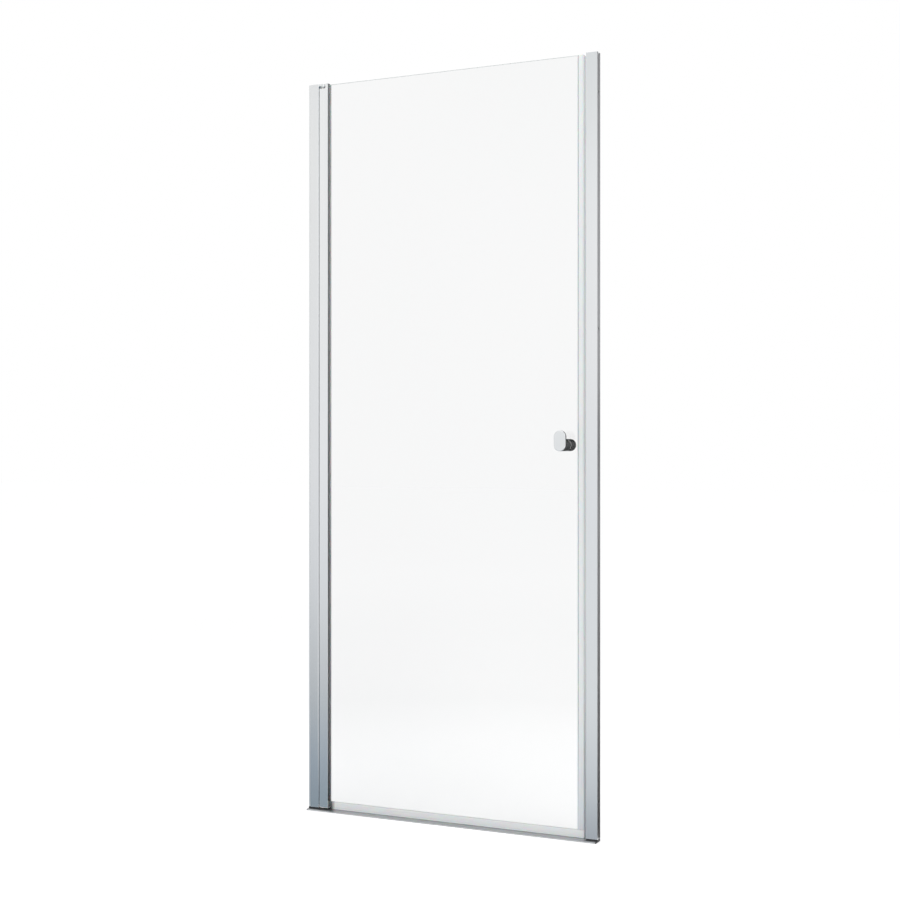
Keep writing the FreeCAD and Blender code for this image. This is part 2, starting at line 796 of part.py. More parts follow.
def hinge_stile():
    """Hollow pivot stile: a tube for the plugs, a front chamber and a pocket for the glass."""
    inner_nose = s.stile_nose_radius - s.profile_wall
    body = new_body("hinge_stile", z=stile_z)
    sketch = new_sketch(body, "XY_Plane")
    outline(
        sketch,
        [
            (stile_left_x, front_y, s.stile_nose_radius),
            (stile_right_x, front_y, s.corner_radius),
            (stile_right_x, pocket_front_y),
            (pocket_x, pocket_front_y),
            (pocket_x, pocket_rear_y),
            (stile_right_x, pocket_rear_y),
            (stile_right_x, rear_y, s.corner_radius),
            (stile_left_x, rear_y, s.corner_radius),
        ],
    )
    tube_left_x = stile_left_x + s.profile_wall
    outline(
        sketch,
        [
            (tube_left_x, inner_front_y, inner_nose),
            (tube_right_x, inner_front_y),
            (tube_right_x, inner_rear_y),
            (tube_left_x, inner_rear_y),
        ],
    )
    outline(
        sketch,
        rectangle(
            pocket_x,
            stile_right_x - s.profile_wall,
            inner_front_y,
            pocket_front_y - s.pocket_wall,
        ),
    )
    pad(body, sketch, top_z - stile_z)
    notch_x = pivot_x + s.notch_reach
    low, high = notch_z - stile_z, top_z - stile_z
    notch = new_sketch(body, "XZ_Plane", out=-front_y)
    outline(
        notch,
        [
            (stile_left_x - s.hinge_gap, low),
            (notch_x, low, s.notch_radius),
            (notch_x, high + s.hinge_gap),
            (stile_left_x - s.hinge_gap, high + s.hinge_gap),
        ],
    )
    pocket(body, notch, notch_rear_y - front_y)
    depth = s.profile_wall + s.plug_fit / 2
    for height in (s.plug_screw_inset, notch_z - s.plug_screw_inset - stile_z):
        drill(body, "XZ_Plane", stile_screw_x, height, -rear_y, screw_hole_radius, depth)


def plug_core(body, level, length):
    """The block that fills the tube of the stile. Gives its rear corners."""
    low_x = stile_left_x + s.profile_wall + s.plug_fit
    high_x = tube_right_x - s.plug_fit
    low_y, high_y = inner_front_y + s.plug_fit, inner_rear_y - s.plug_fit
    nose = s.stile_nose_radius - s.profile_wall - s.plug_fit
    sketch = new_sketch(body, "XY_Plane", out=level)
    outline(sketch, [(low_x, low_y, nose), (high_x, low_y), (high_x, high_y), (low_x, high_y)])
    pad(body, sketch, length)
    return low_x, high_x, high_y


def bush_seat(body, length):
    bore = new_sketch(body, "XY_Plane")
    circle(bore, pivot_x, pivot_y, s.pin_radius + s.pin_fit + s.bush_wall)
    pocket(body, bore, length, reverse=True)


def plug_thread(body, height):
    depth = s.plug_screw_length - s.profile_wall
    drill(body, "XZ_Plane", stile_screw_x, height, -inner_rear_y, s.screw_radius, depth)


def stile_bottom_plug():
    """Holds the lower bush. The stile stands on its flange."""
    inset = s.plug_flange_inset
    low_x, high_x = stile_left_x + inset, stile_right_x - inset
    low_y, high_y = front_y + inset, rear_y - inset
    nose = s.stile_nose_radius - inset
    body = new_body("stile_bottom_plug", z=plug_z)
    flange = new_sketch(body, "XY_Plane")
    outline(flange, [(low_x, low_y, nose), (high_x, low_y), (high_x, high_y), (low_x, high_y)])
    pad(body, flange, s.plug_flange)
    plug_core(body, s.plug_flange, s.plug_length)
    bush_seat(body, s.plug_flange + s.plug_length)
    plug_thread(body, s.plug_flange + s.plug_screw_inset)


def stile_top_plug():
    """Holds the upper bush, and fills the stile behind the notch up to the top."""
    body = new_body("stile_top_plug", z=notch_z - s.plug_length)
    low_x, high_x, high_y = plug_core(body, 0, s.plug_length)
    tower = new_sketch(body, "XY_Plane", out=s.plug_length)
    outline(tower, rectangle(low_x, high_x, notch_rear_y + s.plug_fit, high_y))
    pad(body, tower, s.notch_depth - s.plug_drop)
    bush_seat(body, s.plug_length)
    plug_thread(body, s.plug_length - s.plug_screw_inset)


def glass_panel():
    """One pane, ground along its edges, with a round hole for the knob."""
    body = new_body("glass_panel")
    sketch = new_sketch(body, "XZ_Plane", out=-glass_rear_y)
    outline(sketch, rectangle(glass_left_x, glass_right_x, glass_z, glass_top_z))
    pad(body, sketch, s.glass_thickness)
    rims = edges_on(body, "Y", glass_front_y) + edges_on(body, "Y", glass_rear_y)
    ease(body, "Chamfer", rims, s.glass_chamfer)
    drill(body, "XZ_Plane", knob_x, knob_z, 0, s.glass_hole_radius, s.glass_thickness)


def glazing_gaskets():
    """Strips that wedge the glass in its pocket, each with a bead beside the stile."""
    bead_x = stile_right_x + s.gasket_lip
    sides = (
        ("glazing_gasket_front", glass_front_y, pocket_front_y, -s.gasket_lip),
        ("glazing_gasket_rear", glass_rear_y, pocket_rear_y, s.gasket_lip),
    )
    for label, glass_y, wall_y, lip in sides:
        body = new_body(label, z=glass_z)
        sketch = new_sketch(body, "XY_Plane")
        outline(
            sketch,
            [
                (glass_left_x, glass_y),
                (bead_x, glass_y),
                (bead_x, wall_y + lip, s.gasket_lip / 2),
                (stile_right_x, wall_y + lip),
                (stile_right_x, wall_y),
                (glass_left_x, wall_y),
            ],
        )
        pad(body, sketch, glass_top_z - glass_z)


# ---- magnet seals and the lower seal ----


def magnet_strip(label, low_x, high_x, half_y, z, length):
    fit = s.magnet_fit
    body = new_body(label, z=z)
    sketch = new_sketch(body, "XY_Plane")
    outline(sketch, rectangle(low_x + fit, high_x - fit, fit - half_y, half_y - fit))
    pad(body, sketch, length)


def door_magnet_seal():
    """Clips over the free edge of the glass and carries a magnet strip in its nose."""
    leg_x = glass_right_x - s.seal_leg_length
    z = glass_z + s.drip_leg_height + s.drip_gap
    length = glass_top_z - z
    chamber_low, chamber_high = glass_right_x + s.magnet_wall, door_seal_x - s.magnet_wall
    chamber_half = seal_rear_y - s.magnet_wall
    body = new_body("door_magnet_seal", z=z)
    sketch = new_sketch(body, "XY_Plane")
    outline(
        sketch,
        [
            (leg_x, seal_front_y),
            (door_seal_x, seal_front_y, s.corner_radius),
            (door_seal_x, seal_rear_y, s.corner_radius),
            (leg_x, seal_rear_y),
            (leg_x, glass_rear_y),
            (glass_right_x, glass_rear_y),
            (glass_right_x, glass_front_y),
            (leg_x, glass_front_y),
        ],
    )
    outline(sketch, rectangle(chamber_low, chamber_high, -chamber_half, chamber_half))
    pad(body, sketch, length)
    magnet_strip("door_magnet_strip", chamber_low, chamber_high, chamber_half, z, length)


def strike_magnet_seal():
    """Faces the door seal, with a barbed anchor in the slot of the strike post."""
    nose_x = strike_seal_x + s.strike_seal_nose
    chamber_low, chamber_high = strike_seal_x + s.magnet_wall, nose_x - s.magnet_wall
    chamber_half = seal_rear_y - s.magnet_wall
    neck, head = s.slot_mouth / 2 - s.slot_fit, s.slot_width / 2 - s.slot_fit
    head_x = strike_inner_x + s.slot_fit
    head_end_x = strike_inner_x + s.slot_depth - s.slot_fit
    body = new_body("strike_magnet_seal", z=post_z)
    sketch = new_sketch(body, "XY_Plane")
    outline(
        sketch,
        [
            (strike_seal_x, seal_front_y, s.corner_radius),
            (nose_x, seal_front_y),
            (nose_x, -neck),
            (head_x, -neck),
            (head_x, -head),
            (head_end_x, -neck),
            (head_end_x, neck),
            (head_x, head),
            (head_x, neck),
            (nose_x, neck),
            (nose_x, seal_rear_y),
            (strike_seal_x, seal_rear_y, s.corner_radius),
        ],
    )
    outline(sketch, rectangle(chamber_low, chamber_high, -chamber_half, chamber_half))
    pad(body, sketch, post_length)
    magnet_strip(
        "strike_magnet_strip", chamber_low, chamber_high, chamber_half, post_z, post_length
    )


def bottom_drip_seal():
    """Clips under the glass: two legs, a fin that wipes the sill and one that throws water in."""
    web_z = glass_z - s.drip_web
    leg_z = glass_z + s.drip_leg_height
    fin_front = seal_front_y + s.fin_setback
    fin_rear = fin_front + s.fin_thickness
    deflector_y = seal_rear_y + s.deflector_reach
    deflector_z = web_z - s.deflector_drop
    start_x = stile_right_x + s.gasket_lip + s.drip_end_gap
    body = new_body("bottom_drip_seal", x=start_x)
    sketch = new_sketch(body, "YZ_Plane")
    outline(
        sketch,
        [
            (seal_front_y, web_z),
            (fin_front, web_z),
            (fin_front, deck_z + s.fin_clearance),
            (fin_rear, deck_z + s.fin_clearance),
            (fin_rear, web_z),
            (glass_rear_y - s.fin_thickness, web_z),
            (deflector_y - s.fin_thickness, deflector_z),
            (deflector_y, deflector_z),
            (glass_rear_y, web_z),
            (seal_rear_y, web_z),
            (seal_rear_y, leg_z),
            (glass_rear_y, leg_z),
            (glass_rear_y, glass_z),
            (glass_front_y, glass_z),
            (glass_front_y, leg_z),
            (seal_front_y, leg_z),
        ],
    )
    pad(body, sketch, door_seal_x - start_x)


# ---- sill ----

groove_front_y = sill_front_y + s.sill_groove_inset
groove_rear_y = rear_y - s.sill_groove_inset
rib_y = (groove_front_y + groove_rear_y) / 2


def sill_corners(grooves):
    """The sill from its front foot round to its nose. The end caps have no grooves."""
    underside = []
    if grooves:
        half = s.sill_rib / 2
        for low, high in ((groove_front_y, rib_y - half), (rib_y + half, groove_rear_y)):
            underside += [
                (low, 0),
                (low, s.sill_groove_height),
                (high, s.sill_groove_height),
                (high, 0),
            ]
    return [
        (sill_front_y, 0),
        *underside,
        (rear_y, 0),
        (rear_y, ridge_z, s.sill_ridge_round),
        (ridge_y, ridge_z, s.sill_ridge_round),
        (ridge_y, deck_z),
        (sill_front_y + s.sill_nose_run, deck_z),
        (sill_front_y, s.sill_nose_height),
    ]


def threshold():
    """A low sill: bevelled nose, flat top, a water bar behind the leaf and sealant grooves."""
    start_x = left_x + s.sill_cap_thickness
    body = new_body("threshold", x=start_x)
    sketch = new_sketch(body, "YZ_Plane")
    outline(sketch, sill_corners(grooves=True))
    pad(body, sketch, s.door_width - 2 * s.sill_cap_thickness)


def threshold_end_cap(label, wall_x, inward):
    """Closes one end of the sill, with two tongues in its grooves."""
    body = new_body(label, x=wall_x)
    sketch = new_sketch(body, "YZ_Plane")
    outline(sketch, sill_corners(grooves=False))
    pad(body, sketch, s.sill_cap_thickness, reverse=inward < 0)
    half, fit = s.sill_rib / 2, s.sill_cap_fit
    tongues = new_sketch(body, "YZ_Plane", out=inward * s.sill_cap_thickness)
    for low, high in ((groove_front_y, rib_y - half), (rib_y + half, groove_rear_y)):
        outline(tongues, rectangle(low + fit, high - fit, fit, s.sill_groove_height - fit))
    pad(body, tongues, s.sill_cap_tongue, reverse=inward < 0)


# ---- knob ----


def outer_knob():
    """Oblong front plate on a round stem, cast in one, with a threaded hole for the stud."""
    stem_start = -glass_front_y + s.knob_washer_thickness
    plate_start = s.knob_projection - s.knob_plate_thickness
    body = new_body("outer_knob", x=knob_x, z=knob_z)
    stem = new_sketch(body, "XZ_Plane", out=stem_start)
    circle(stem, 0, 0, s.knob_stem_radius)
    pad(body, stem, plate_start - stem_start)
    radius, rise = s.knob_plate_radius, s.knob_plate_rise
    for height in (as_length(0), rise):
        end = new_sketch(body, "XZ_Plane", out=plate_start)
        circle(end, 0, height, radius)
        pad(body, end, s.knob_plate_thickness)
    middle = new_sketch(body, "XZ_Plane", out=plate_start)
    outline(middle, rectangle(-radius, radius, 0, rise))
    pad(body, middle, s.knob_plate_thickness)
    ease(body, "Chamfer", edges_on(body, "Y", -s.knob_projection), s.knob_edge_bevel)
    bore = new_sketch(body, "XZ_Plane", out=stem_start)
    circle(bore, 0, 0, s.stud_radius + s.stud_fit)
    pocket(body, bore, s.stud_outer_reach + s.stud_end_gap - stem_start, reverse=True)


def inner_knob():
    """Round inner knob with a bevelled end, held on the stud by a set screw."""
    start = glass_rear_y + s.knob_washer_thickness
    length = s.knob_projection - start
    bore = s.stud_radius + s.stud_fit
    bore_end = s.stud_inner_reach + s.stud_end_gap - start
    body = new_body("inner_knob", x=knob_x, y=start, z=knob_z)
    turned(
        body,
        "XY_Plane",
        [
            (bore, 0),
            (s.knob_stem_radius, 0),
            (s.knob_stem_radius, length - s.knob_end_bevel),
            (s.knob_stem_radius - s.knob_end_bevel, length),
            (0, length),
            (0, bore_end),
            (bore, bore_end),
        ],
    )
    thread = new_sketch(body, "XY_Plane", out=-s.knob_stem_radius)
    circle(thread, 0, s.grub_place - start, s.grub_radius + s.grub_fit)
    pocket(body, thread, s.knob_stem_radius, reverse=True)


def knob_fittings():
    """What joins the two knobs through the glass: stud, sleeve, two washers and the set screw."""
    bore = s.stud_radius + s.stud_fit
    thickness = s.knob_washer_thickness
    rings = (
        ("knob_washer_outer", glass_front_y - thickness, s.knob_washer_radius, thickness),
        ("knob_washer_inner", glass_rear_y, s.knob_washer_radius, thickness),
        ("knob_sleeve", glass_front_y, s.glass_hole_radius - s.sleeve_fit, s.glass_thickness),
    )
    for label, y, radius, length in rings:
        ring = new_body(label, x=knob_x, y=y, z=knob_z)
        turned(ring, "XY_Plane", rectangle(bore, radius, 0, length))
    stud = new_body("knob_stud", x=knob_x, y=-s.stud_outer_reach, z=knob_z)
    sketch = new_sketch(stud, "XZ_Plane")
    circle(sketch, 0, 0, s.stud_radius)
    pad(stud, sketch, s.stud_outer_reach + s.stud_inner_reach, reverse=True)
    set_screw = primitive(
        "Cylinder",
        "knob_set_screw",
        (knob_x, s.grub_place, knob_z - s.knob_stem_radius + s.grub_sink),
        (0, 0, 1),
        Radius=s.grub_radius,
        Height=s.knob_stem_radius - s.grub_sink - s.stud_radius,
    )
    parts.append(set_screw)


# ---- screws ----


def fused(name, pieces):
    screw = doc.addObject("Part::MultiFuse", name)
    screw.Shapes = pieces
    return screw


def rear_screw(name, x, z, length):
    """A screw that goes in from the rear, its head seated on the rear faces."""
    head = primitive(
        "Cylinder",
        f"{name}_head",
        (x, rear_y, z),
        (0, 1, 0),
        Radius=s.rear_head_radius,
        Height=s.rear_head_height,
    )
    shank = primitive(
        "Cylinder",
        f"{name}_shank",
        (x, rear_y, z),
        (0, -1, 0),
        Radius=s.screw_radius,
        Height=length,
    )
    return fused(name, [head, shank])


def sunk_screw(name, z, up):
    """An end screw in the port of the hinge post, its head at z. It points up if up is 1."""
    head = primitive(
        "Cone",
        f"{name}_head",
        (hinge_screw_x, middle_y, z),
        (0, 0, up),
        Radius1=s.sunk_head_radius,
        Radius2=s.screw_radius,
        Height=s.sunk_head_height,
    )
    shank = primitive(
        "Cylinder",
        f"{name}_shank",
        (hinge_screw_x, middle_y, z + up * s.sunk_head_height),
        (0, 0, up),
        Radius=s.screw_radius,
        Height=s.sunk_screw_length,
    )
    return fused(name, [head, shank])


def group(label, screws):
    """Identical screws share one sub-part."""
    compound = doc.addObject("Part::Compound", label)
    compound.Label = label
    compound.Links = screws
    parts.append(compound)


def rear_screws(label, x, heights, length):
    group(label, [rear_screw(f"{label}_{i}", x, z, length) for i, z in enumerate(heights)])


def screws():
    clamp_length = s.profile_wall + s.slide_fit
    clamp_heights = [
        s.post_screw_inset + i * post_screw_pitch for i in range(int(s.post_screw_count.value))
    ]
    rear_screws("hinge_post_screws", post_screw_hinge_x, clamp_heights, clamp_length)
    rear_screws("strike_post_screws", post_screw_strike_x, clamp_heights, clamp_length)
    plug_heights = (stile_z + s.plug_screw_inset, notch_z - s.plug_screw_inset)
    rear_screws("stile_plug_screws", stile_screw_x, plug_heights, s.plug_screw_length)
    group("end_screws", [sunk_screw("top_screw", top_z, -1), sunk_screw("foot_screw", deck_z, 1)])


# ---- the assembly ----

wall_channel("wall_channel_hinge", left_x, 1, hinge_tip_x)
wall_channel("wall_channel_strike", right_x, -1, strike_tip_x)
hinge_post()
strike_post()
top_pivot_bracket()
strike_post_top_cap()
bottom_pivot_bracket()
strike_post_foot()
pivot_pins()
bushes()
thrust_washer()
hinge_stile()
stile_bottom_plug()
stile_top_plug()
glass_panel()
glazing_gaskets()
door_magnet_seal()
strike_magnet_seal()
bottom_drip_seal()
threshold()
threshold_end_cap("threshold_end_cap_left", left_x, 1)
threshold_end_cap("threshold_end_cap_right", right_x, -1)
outer_knob()
inner_knob()
knob_fittings()
screws()
doc.recompute()

for thing in doc.Objects:
    if {"Invalid", "Error"} & set(thing.State):
        raise RuntimeError(f"{thing.Label} failed: {thing.State}")
for part in parts:
    if part.Shape.isNull() or not part.Shape.isValid() or not part.Shape.Solids:
        raise RuntimeError(f"{part.Label} has no sound solid")

os.makedirs("parts", exist_ok=True)
for part in parts:
    part.Shape.exportStep(os.path.join("parts", f"{part.Label}.step"))
    print(f"{part.Label}: {len(part.Shape.Solids)} solid(s), {part.Shape.Volume:.0f} mm3")
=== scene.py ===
import json
import math

import bmesh
import bpy
from mathutils import Matrix, Vector

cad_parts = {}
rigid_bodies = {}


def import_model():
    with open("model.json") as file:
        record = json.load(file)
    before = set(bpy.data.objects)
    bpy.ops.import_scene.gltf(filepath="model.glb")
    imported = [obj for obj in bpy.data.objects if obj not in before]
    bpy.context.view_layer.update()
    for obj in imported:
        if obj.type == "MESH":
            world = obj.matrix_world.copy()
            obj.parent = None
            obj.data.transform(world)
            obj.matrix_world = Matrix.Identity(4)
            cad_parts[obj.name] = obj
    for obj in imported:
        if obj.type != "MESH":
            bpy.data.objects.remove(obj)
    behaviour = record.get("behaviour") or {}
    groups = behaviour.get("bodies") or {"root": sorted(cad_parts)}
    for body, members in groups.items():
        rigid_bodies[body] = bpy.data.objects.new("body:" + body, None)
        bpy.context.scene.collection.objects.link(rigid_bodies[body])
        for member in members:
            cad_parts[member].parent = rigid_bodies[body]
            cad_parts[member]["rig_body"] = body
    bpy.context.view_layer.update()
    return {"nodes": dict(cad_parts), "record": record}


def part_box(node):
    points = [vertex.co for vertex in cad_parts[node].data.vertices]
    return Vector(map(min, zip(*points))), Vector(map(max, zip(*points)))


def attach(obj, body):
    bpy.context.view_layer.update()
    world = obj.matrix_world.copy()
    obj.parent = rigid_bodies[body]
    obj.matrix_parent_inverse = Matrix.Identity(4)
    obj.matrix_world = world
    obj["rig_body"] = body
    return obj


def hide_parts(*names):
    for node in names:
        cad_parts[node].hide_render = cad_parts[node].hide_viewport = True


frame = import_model()
slotOf = {part["node"]: part["material_slot"] for part in frame["record"]["subparts"]}
print("frame loaded:", len(frame["nodes"]), "pieces of the door")


def mm(*sizes):
    # millimetres to metres
    return tuple(size / 1000 for size in sizes) if len(sizes) > 1 else sizes[0] / 1000


def addNode(tree, kind, inputs=None, **settings):
    node = tree.nodes.new(kind)
    for name, value in settings.items():
        setattr(node, name, value)
    for name, value in (inputs or {}).items():
        if isinstance(value, bpy.types.NodeSocket):
            tree.links.new(value, node.inputs[name])
        else:
            node.inputs[name].default_value = value
    return node


def calc(tree, operation, *values):
    inputs = dict(enumerate(values))
    return addNode(tree, "ShaderNodeMath", inputs, operation=operation).outputs[0]


def fade(tree, value, low, high, **settings):
    # goes from 0 to 1 as the value goes from low to high
    spread = {"Value": value, "From Min": low, "From Max": high}
    return addNode(tree, "ShaderNodeMapRange", spread, **settings).outputs[0]


def mixColours(tree, factor, first, second):
    node = addNode(tree, "ShaderNodeMix", {"Factor": factor}, data_type="RGBA")
    for index, value in ((6, first), (7, second)):  # the two colour sockets of a Mix node
        if isinstance(value, bpy.types.NodeSocket):
            tree.links.new(value, node.inputs[index])
        else:
            node.inputs[index].default_value = (*value, 1)
    return node.outputs[2]


number, vector = "NodeSocketFloat", "NodeSocketVector"


def shaderGroup(name, inputs, outputs):
    tree = bpy.data.node_groups.new(name, "ShaderNodeTree")
    for socket, kind, value in inputs:
        made = tree.interface.new_socket(socket, in_out="INPUT", socket_type=kind)
        made.default_value = value
    for socket, kind in outputs:
        tree.interface.new_socket(socket, in_out="OUTPUT", socket_type=kind)
    return tree, tree.nodes.new("NodeGroupInput").outputs, tree.nodes.new("NodeGroupOutput").inputs


linePattern = {"bands": (160.0, 2.0), "hairlines": (2600.0, 4.0)}  # scale and detail


def makeDrawnLines():
    # long fine lines that the die leaves along an extrusion, broad bands and hairlines together
    tree, given, out = shaderGroup(
        "drawnLines",
        [
            ("Place", vector, (0, 0, 0)), ("Stretch", vector, (1, 1, 0.01)),
            ("Hairlines", number, 0.5),
        ],
        [("Lines", number)],
    )
    place = {0: given["Place"], 1: given["Stretch"]}
    stretched = addNode(tree, "ShaderNodeVectorMath", place, operation="MULTIPLY").outputs[0]
    noises = []
    for scale, detail in (linePattern["bands"], linePattern["hairlines"]):
        look = {"Vector": stretched, "Scale": scale, "Detail": detail}
        noises.append(addNode(tree, "ShaderNodeTexNoise", look).outputs["Fac"])
    bands, hairlines = noises
    share = {"Factor": given["Hairlines"], "A": bands, "B": hairlines}
    mixed = addNode(tree, "ShaderNodeMix", share)
    tree.links.new(mixed.outputs["Result"], out["Lines"])
    return tree


markPattern = {
    "detail": 6.0, "roughness": 0.62, "distortion": 0.6, "startsAt": 0.48, "fullAt": 0.72,
}


def makeHandledMarks():
    # faint patches of wiped water and finger grease
    tree, given, out = shaderGroup(
        "handledMarks",
        [("Place", vector, (0, 0, 0)), ("Size", number, 9.0), ("Amount", number, 0.4)],
        [("Marks", number)],
    )
    cloud = addNode(tree, "ShaderNodeTexNoise", {
        "Vector": given["Place"], "Scale": given["Size"], "Detail": markPattern["detail"],
        "Roughness": markPattern["roughness"], "Distortion": markPattern["distortion"],
    })
    shaped = fade(
        tree, cloud.outputs["Fac"], markPattern["startsAt"], markPattern["fullAt"],
        interpolation_type="SMOOTHSTEP",
    )
    tree.links.new(calc(tree, "MULTIPLY", shaped, given["Amount"]), out["Marks"])
    return tree


def makeMouldGrain():
    # the fine even texture of a spark-eroded mould, with a slow change of tone under it
    tree, given, out = shaderGroup(
        "mouldGrain",
        [("Place", vector, (0, 0, 0)), ("Grain Size", number, 2200.0), ("Tone Size", number, 60.0)],
        [("Grain", number), ("Tone", number)],
    )
    cells = {"Vector": given["Place"], "Scale": given["Grain Size"]}
    grain = addNode(tree, "ShaderNodeTexVoronoi", cells, feature="SMOOTH_F1")
    cloud = {"Vector": given["Place"], "Scale": given["Tone Size"], "Detail": 3.0}
    tone = addNode(tree, "ShaderNodeTexNoise", cloud)
    tree.links.new(grain.outputs["Distance"], out["Grain"])
    tree.links.new(tone.outputs["Fac"], out["Tone"])
    return tree


drawnLines, handledMarks, mouldGrain = makeDrawnLines(), makeHandledMarks(), makeMouldGrain()


class Finish:
    # one material: its tree, its principled shader and the place that its patterns read
    def __init__(self, name, **sockets):
        self.material = bpy.data.materials.new(name)
        self.material.use_nodes = True
        self.tree = self.material.node_tree
        self.shader = self.tree.nodes["Principled BSDF"]
        self.place = self.add("ShaderNodeTexCoord").outputs["Object"]
        self.set(**sockets)

    def set(self, **sockets):
        # values that are the same all over the surface
        for socket, value in sockets.items():
            self.shader.inputs[socket.replace("_", " ")].default_value = value

    def add(self, kind, inputs=None, **settings):
        return addNode(self.tree, kind, inputs, **settings)

    def use(self, group, **inputs):
        given = {name.replace("_", " "): value for name, value in inputs.items()}
        return self.add("ShaderNodeGroup", {"Place": self.place, **given}, node_tree=group).outputs

    def marks(self, look):
        return self.use(handledMarks, Size=look["markSize"], Amount=look["marks"])["Marks"]

    def span(self, value, low, high):
        # a 0 to 1 pattern spread between two values
        spread = {"Value": value, "To Min": low, "To Max": high}
        return self.add("ShaderNodeMapRange", spread).outputs[0]

    def mix(self, factor, first, second):
        return mixColours(self.tree, factor, first, second)

    def calc(self, operation, *values):
        return calc(self.tree, operation, *values)

    def link(self, value, socket):
        self.tree.links.new(value, self.shader.inputs[socket])

    def paint(self, colour, rough, marks=None):
        # the colour, and the roughness with what handling adds to it
        self.link(colour, "Base Color")
        self.link(rough if marks is None else self.calc("ADD", rough, marks), "Roughness")

    def bump(self, height, look):
        relief = {"Height": height, "Strength": look["bump"], "Distance": mm(look["depth"])}
        self.link(self.add("ShaderNodeBump", relief).outputs[0], "Normal")


aluminiumLook = {
    "polishedAluminium": {
        "light": (0.84, 0.85, 0.86), "dark": (0.78, 0.79, 0.805), "smooth": 0.13, "dull": 0.22,
    },
    "stileAluminium": {
        "light": (0.90, 0.91, 0.92), "dark": (0.84, 0.85, 0.865), "smooth": 0.13, "dull": 0.22,
    },
    # a darker copy of the aluminium: painted shade on the sill
    "shadedSillAluminium": {
        "light": (0.60, 0.61, 0.625), "dark": (0.48, 0.49, 0.50), "smooth": 0.30, "dull": 0.42,
    },
    "plainAluminium": {
        "light": (0.86, 0.87, 0.88), "dark": (0.80, 0.81, 0.82), "smooth": 0.34, "dull": 0.46,
    },
}
drawnSurface = {"hairlines": 0.45, "markSize": 7.0, "marks": 0.03, "bump": 0.10, "depth": 0.015}


def drawnAluminium(name, stretch):
    look = aluminiumLook[name]
    finish = Finish(name, Metallic=1.0)
    lines = finish.use(drawnLines, Stretch=stretch, Hairlines=drawnSurface["hairlines"])["Lines"]
    colour = finish.mix(lines, look["dark"], look["light"])
    rough = finish.span(lines, look["smooth"], look["dull"])
    finish.paint(colour, rough, finish.marks(drawnSurface))
    finish.bump(lines, drawnSurface)
    return finish.material


chromeLook = {
    "bracketPlating": {
        "light": (0.84, 0.85, 0.86), "dark": (0.77, 0.78, 0.795), "smooth": 0.128, "dull": 0.20,
        "markSize": 70.0, "marks": 0.10, "bump": 0.10, "depth": 0.05,
    },
    "knobPlating": {
        "light": (0.83, 0.84, 0.845), "dark": (0.77, 0.78, 0.785), "smooth": 0.072, "dull": 0.1125,
        "markSize": 70.0, "marks": 0.10, "bump": 0.10, "depth": 0.02,
    },
}


def plating(name):
    # polished plating over the soft ripple of a casting
    look = chromeLook[name]
    finish = Finish(name, Metallic=1.0)
    ripple = finish.use(mouldGrain, Grain_Size=900.0, Tone_Size=90.0)["Tone"]
    colour = finish.mix(ripple, look["dark"], look["light"])
    rough = finish.span(ripple, look["smooth"], look["dull"])
    finish.paint(colour, rough, finish.marks(look))
    finish.bump(ripple, look)
    return finish.material


mouldedLook = {
    "blackPlastic": {
        "base": (0.018, 0.019, 0.021), "worn": (0.034, 0.035, 0.038), "smooth": 0.41, "dull": 0.54,
        "markSize": 40.0, "marks": 0.08, "bump": 0.35, "depth": 0.03,
    },
    "whiteNylon": {
        "base": (0.80, 0.80, 0.77), "worn": (0.88, 0.88, 0.86), "smooth": 0.33, "dull": 0.46,
        "markSize": 40.0, "marks": 0.08, "bump": 0.35, "depth": 0.015,
        "milky": 0.25, "milkyDepth": 2.0,
    },
    "magnetRubber": {
        "base": (0.060, 0.055, 0.053), "worn": (0.10, 0.095, 0.092), "smooth": 0.61, "dull": 0.74,
        "markSize": 40.0, "marks": 0.08, "bump": 0.35, "depth": 0.04,
    },
}


def moulded(name):
    look = mouldedLook[name]
    finish = Finish(name)
    if "milky" in look:
        finish.set(Subsurface_Weight=look["milky"], Subsurface_Scale=mm(look["milkyDepth"]))
    pattern = finish.use(mouldGrain)
    colour = finish.mix(pattern["Tone"], look["base"], look["worn"])
    rough = finish.span(pattern["Grain"], look["smooth"], look["dull"])
    finish.paint(colour, rough, finish.marks(look))
    finish.bump(pattern["Grain"], look)
    return finish.material


steelLook = {
    "light": (0.62, 0.63, 0.64), "dark": (0.46, 0.465, 0.475), "smooth": 0.18, "dull": 0.36,
    "hairlines": 0.7, "bump": 0.25, "depth": 0.02,
}


def turnedSteel():
    finish = Finish("turnedSteel", Metallic=1.0)
    even = (1.0, 1.0, 1.0)
    lines = finish.use(drawnLines, Stretch=even, Hairlines=steelLook["hairlines"])["Lines"]
    colour = finish.mix(lines, steelLook["dark"], steelLook["light"])
    finish.paint(colour, finish.span(lines, steelLook["smooth"], steelLook["dull"]))
    finish.bump(lines, steelLook)
    return finish.material
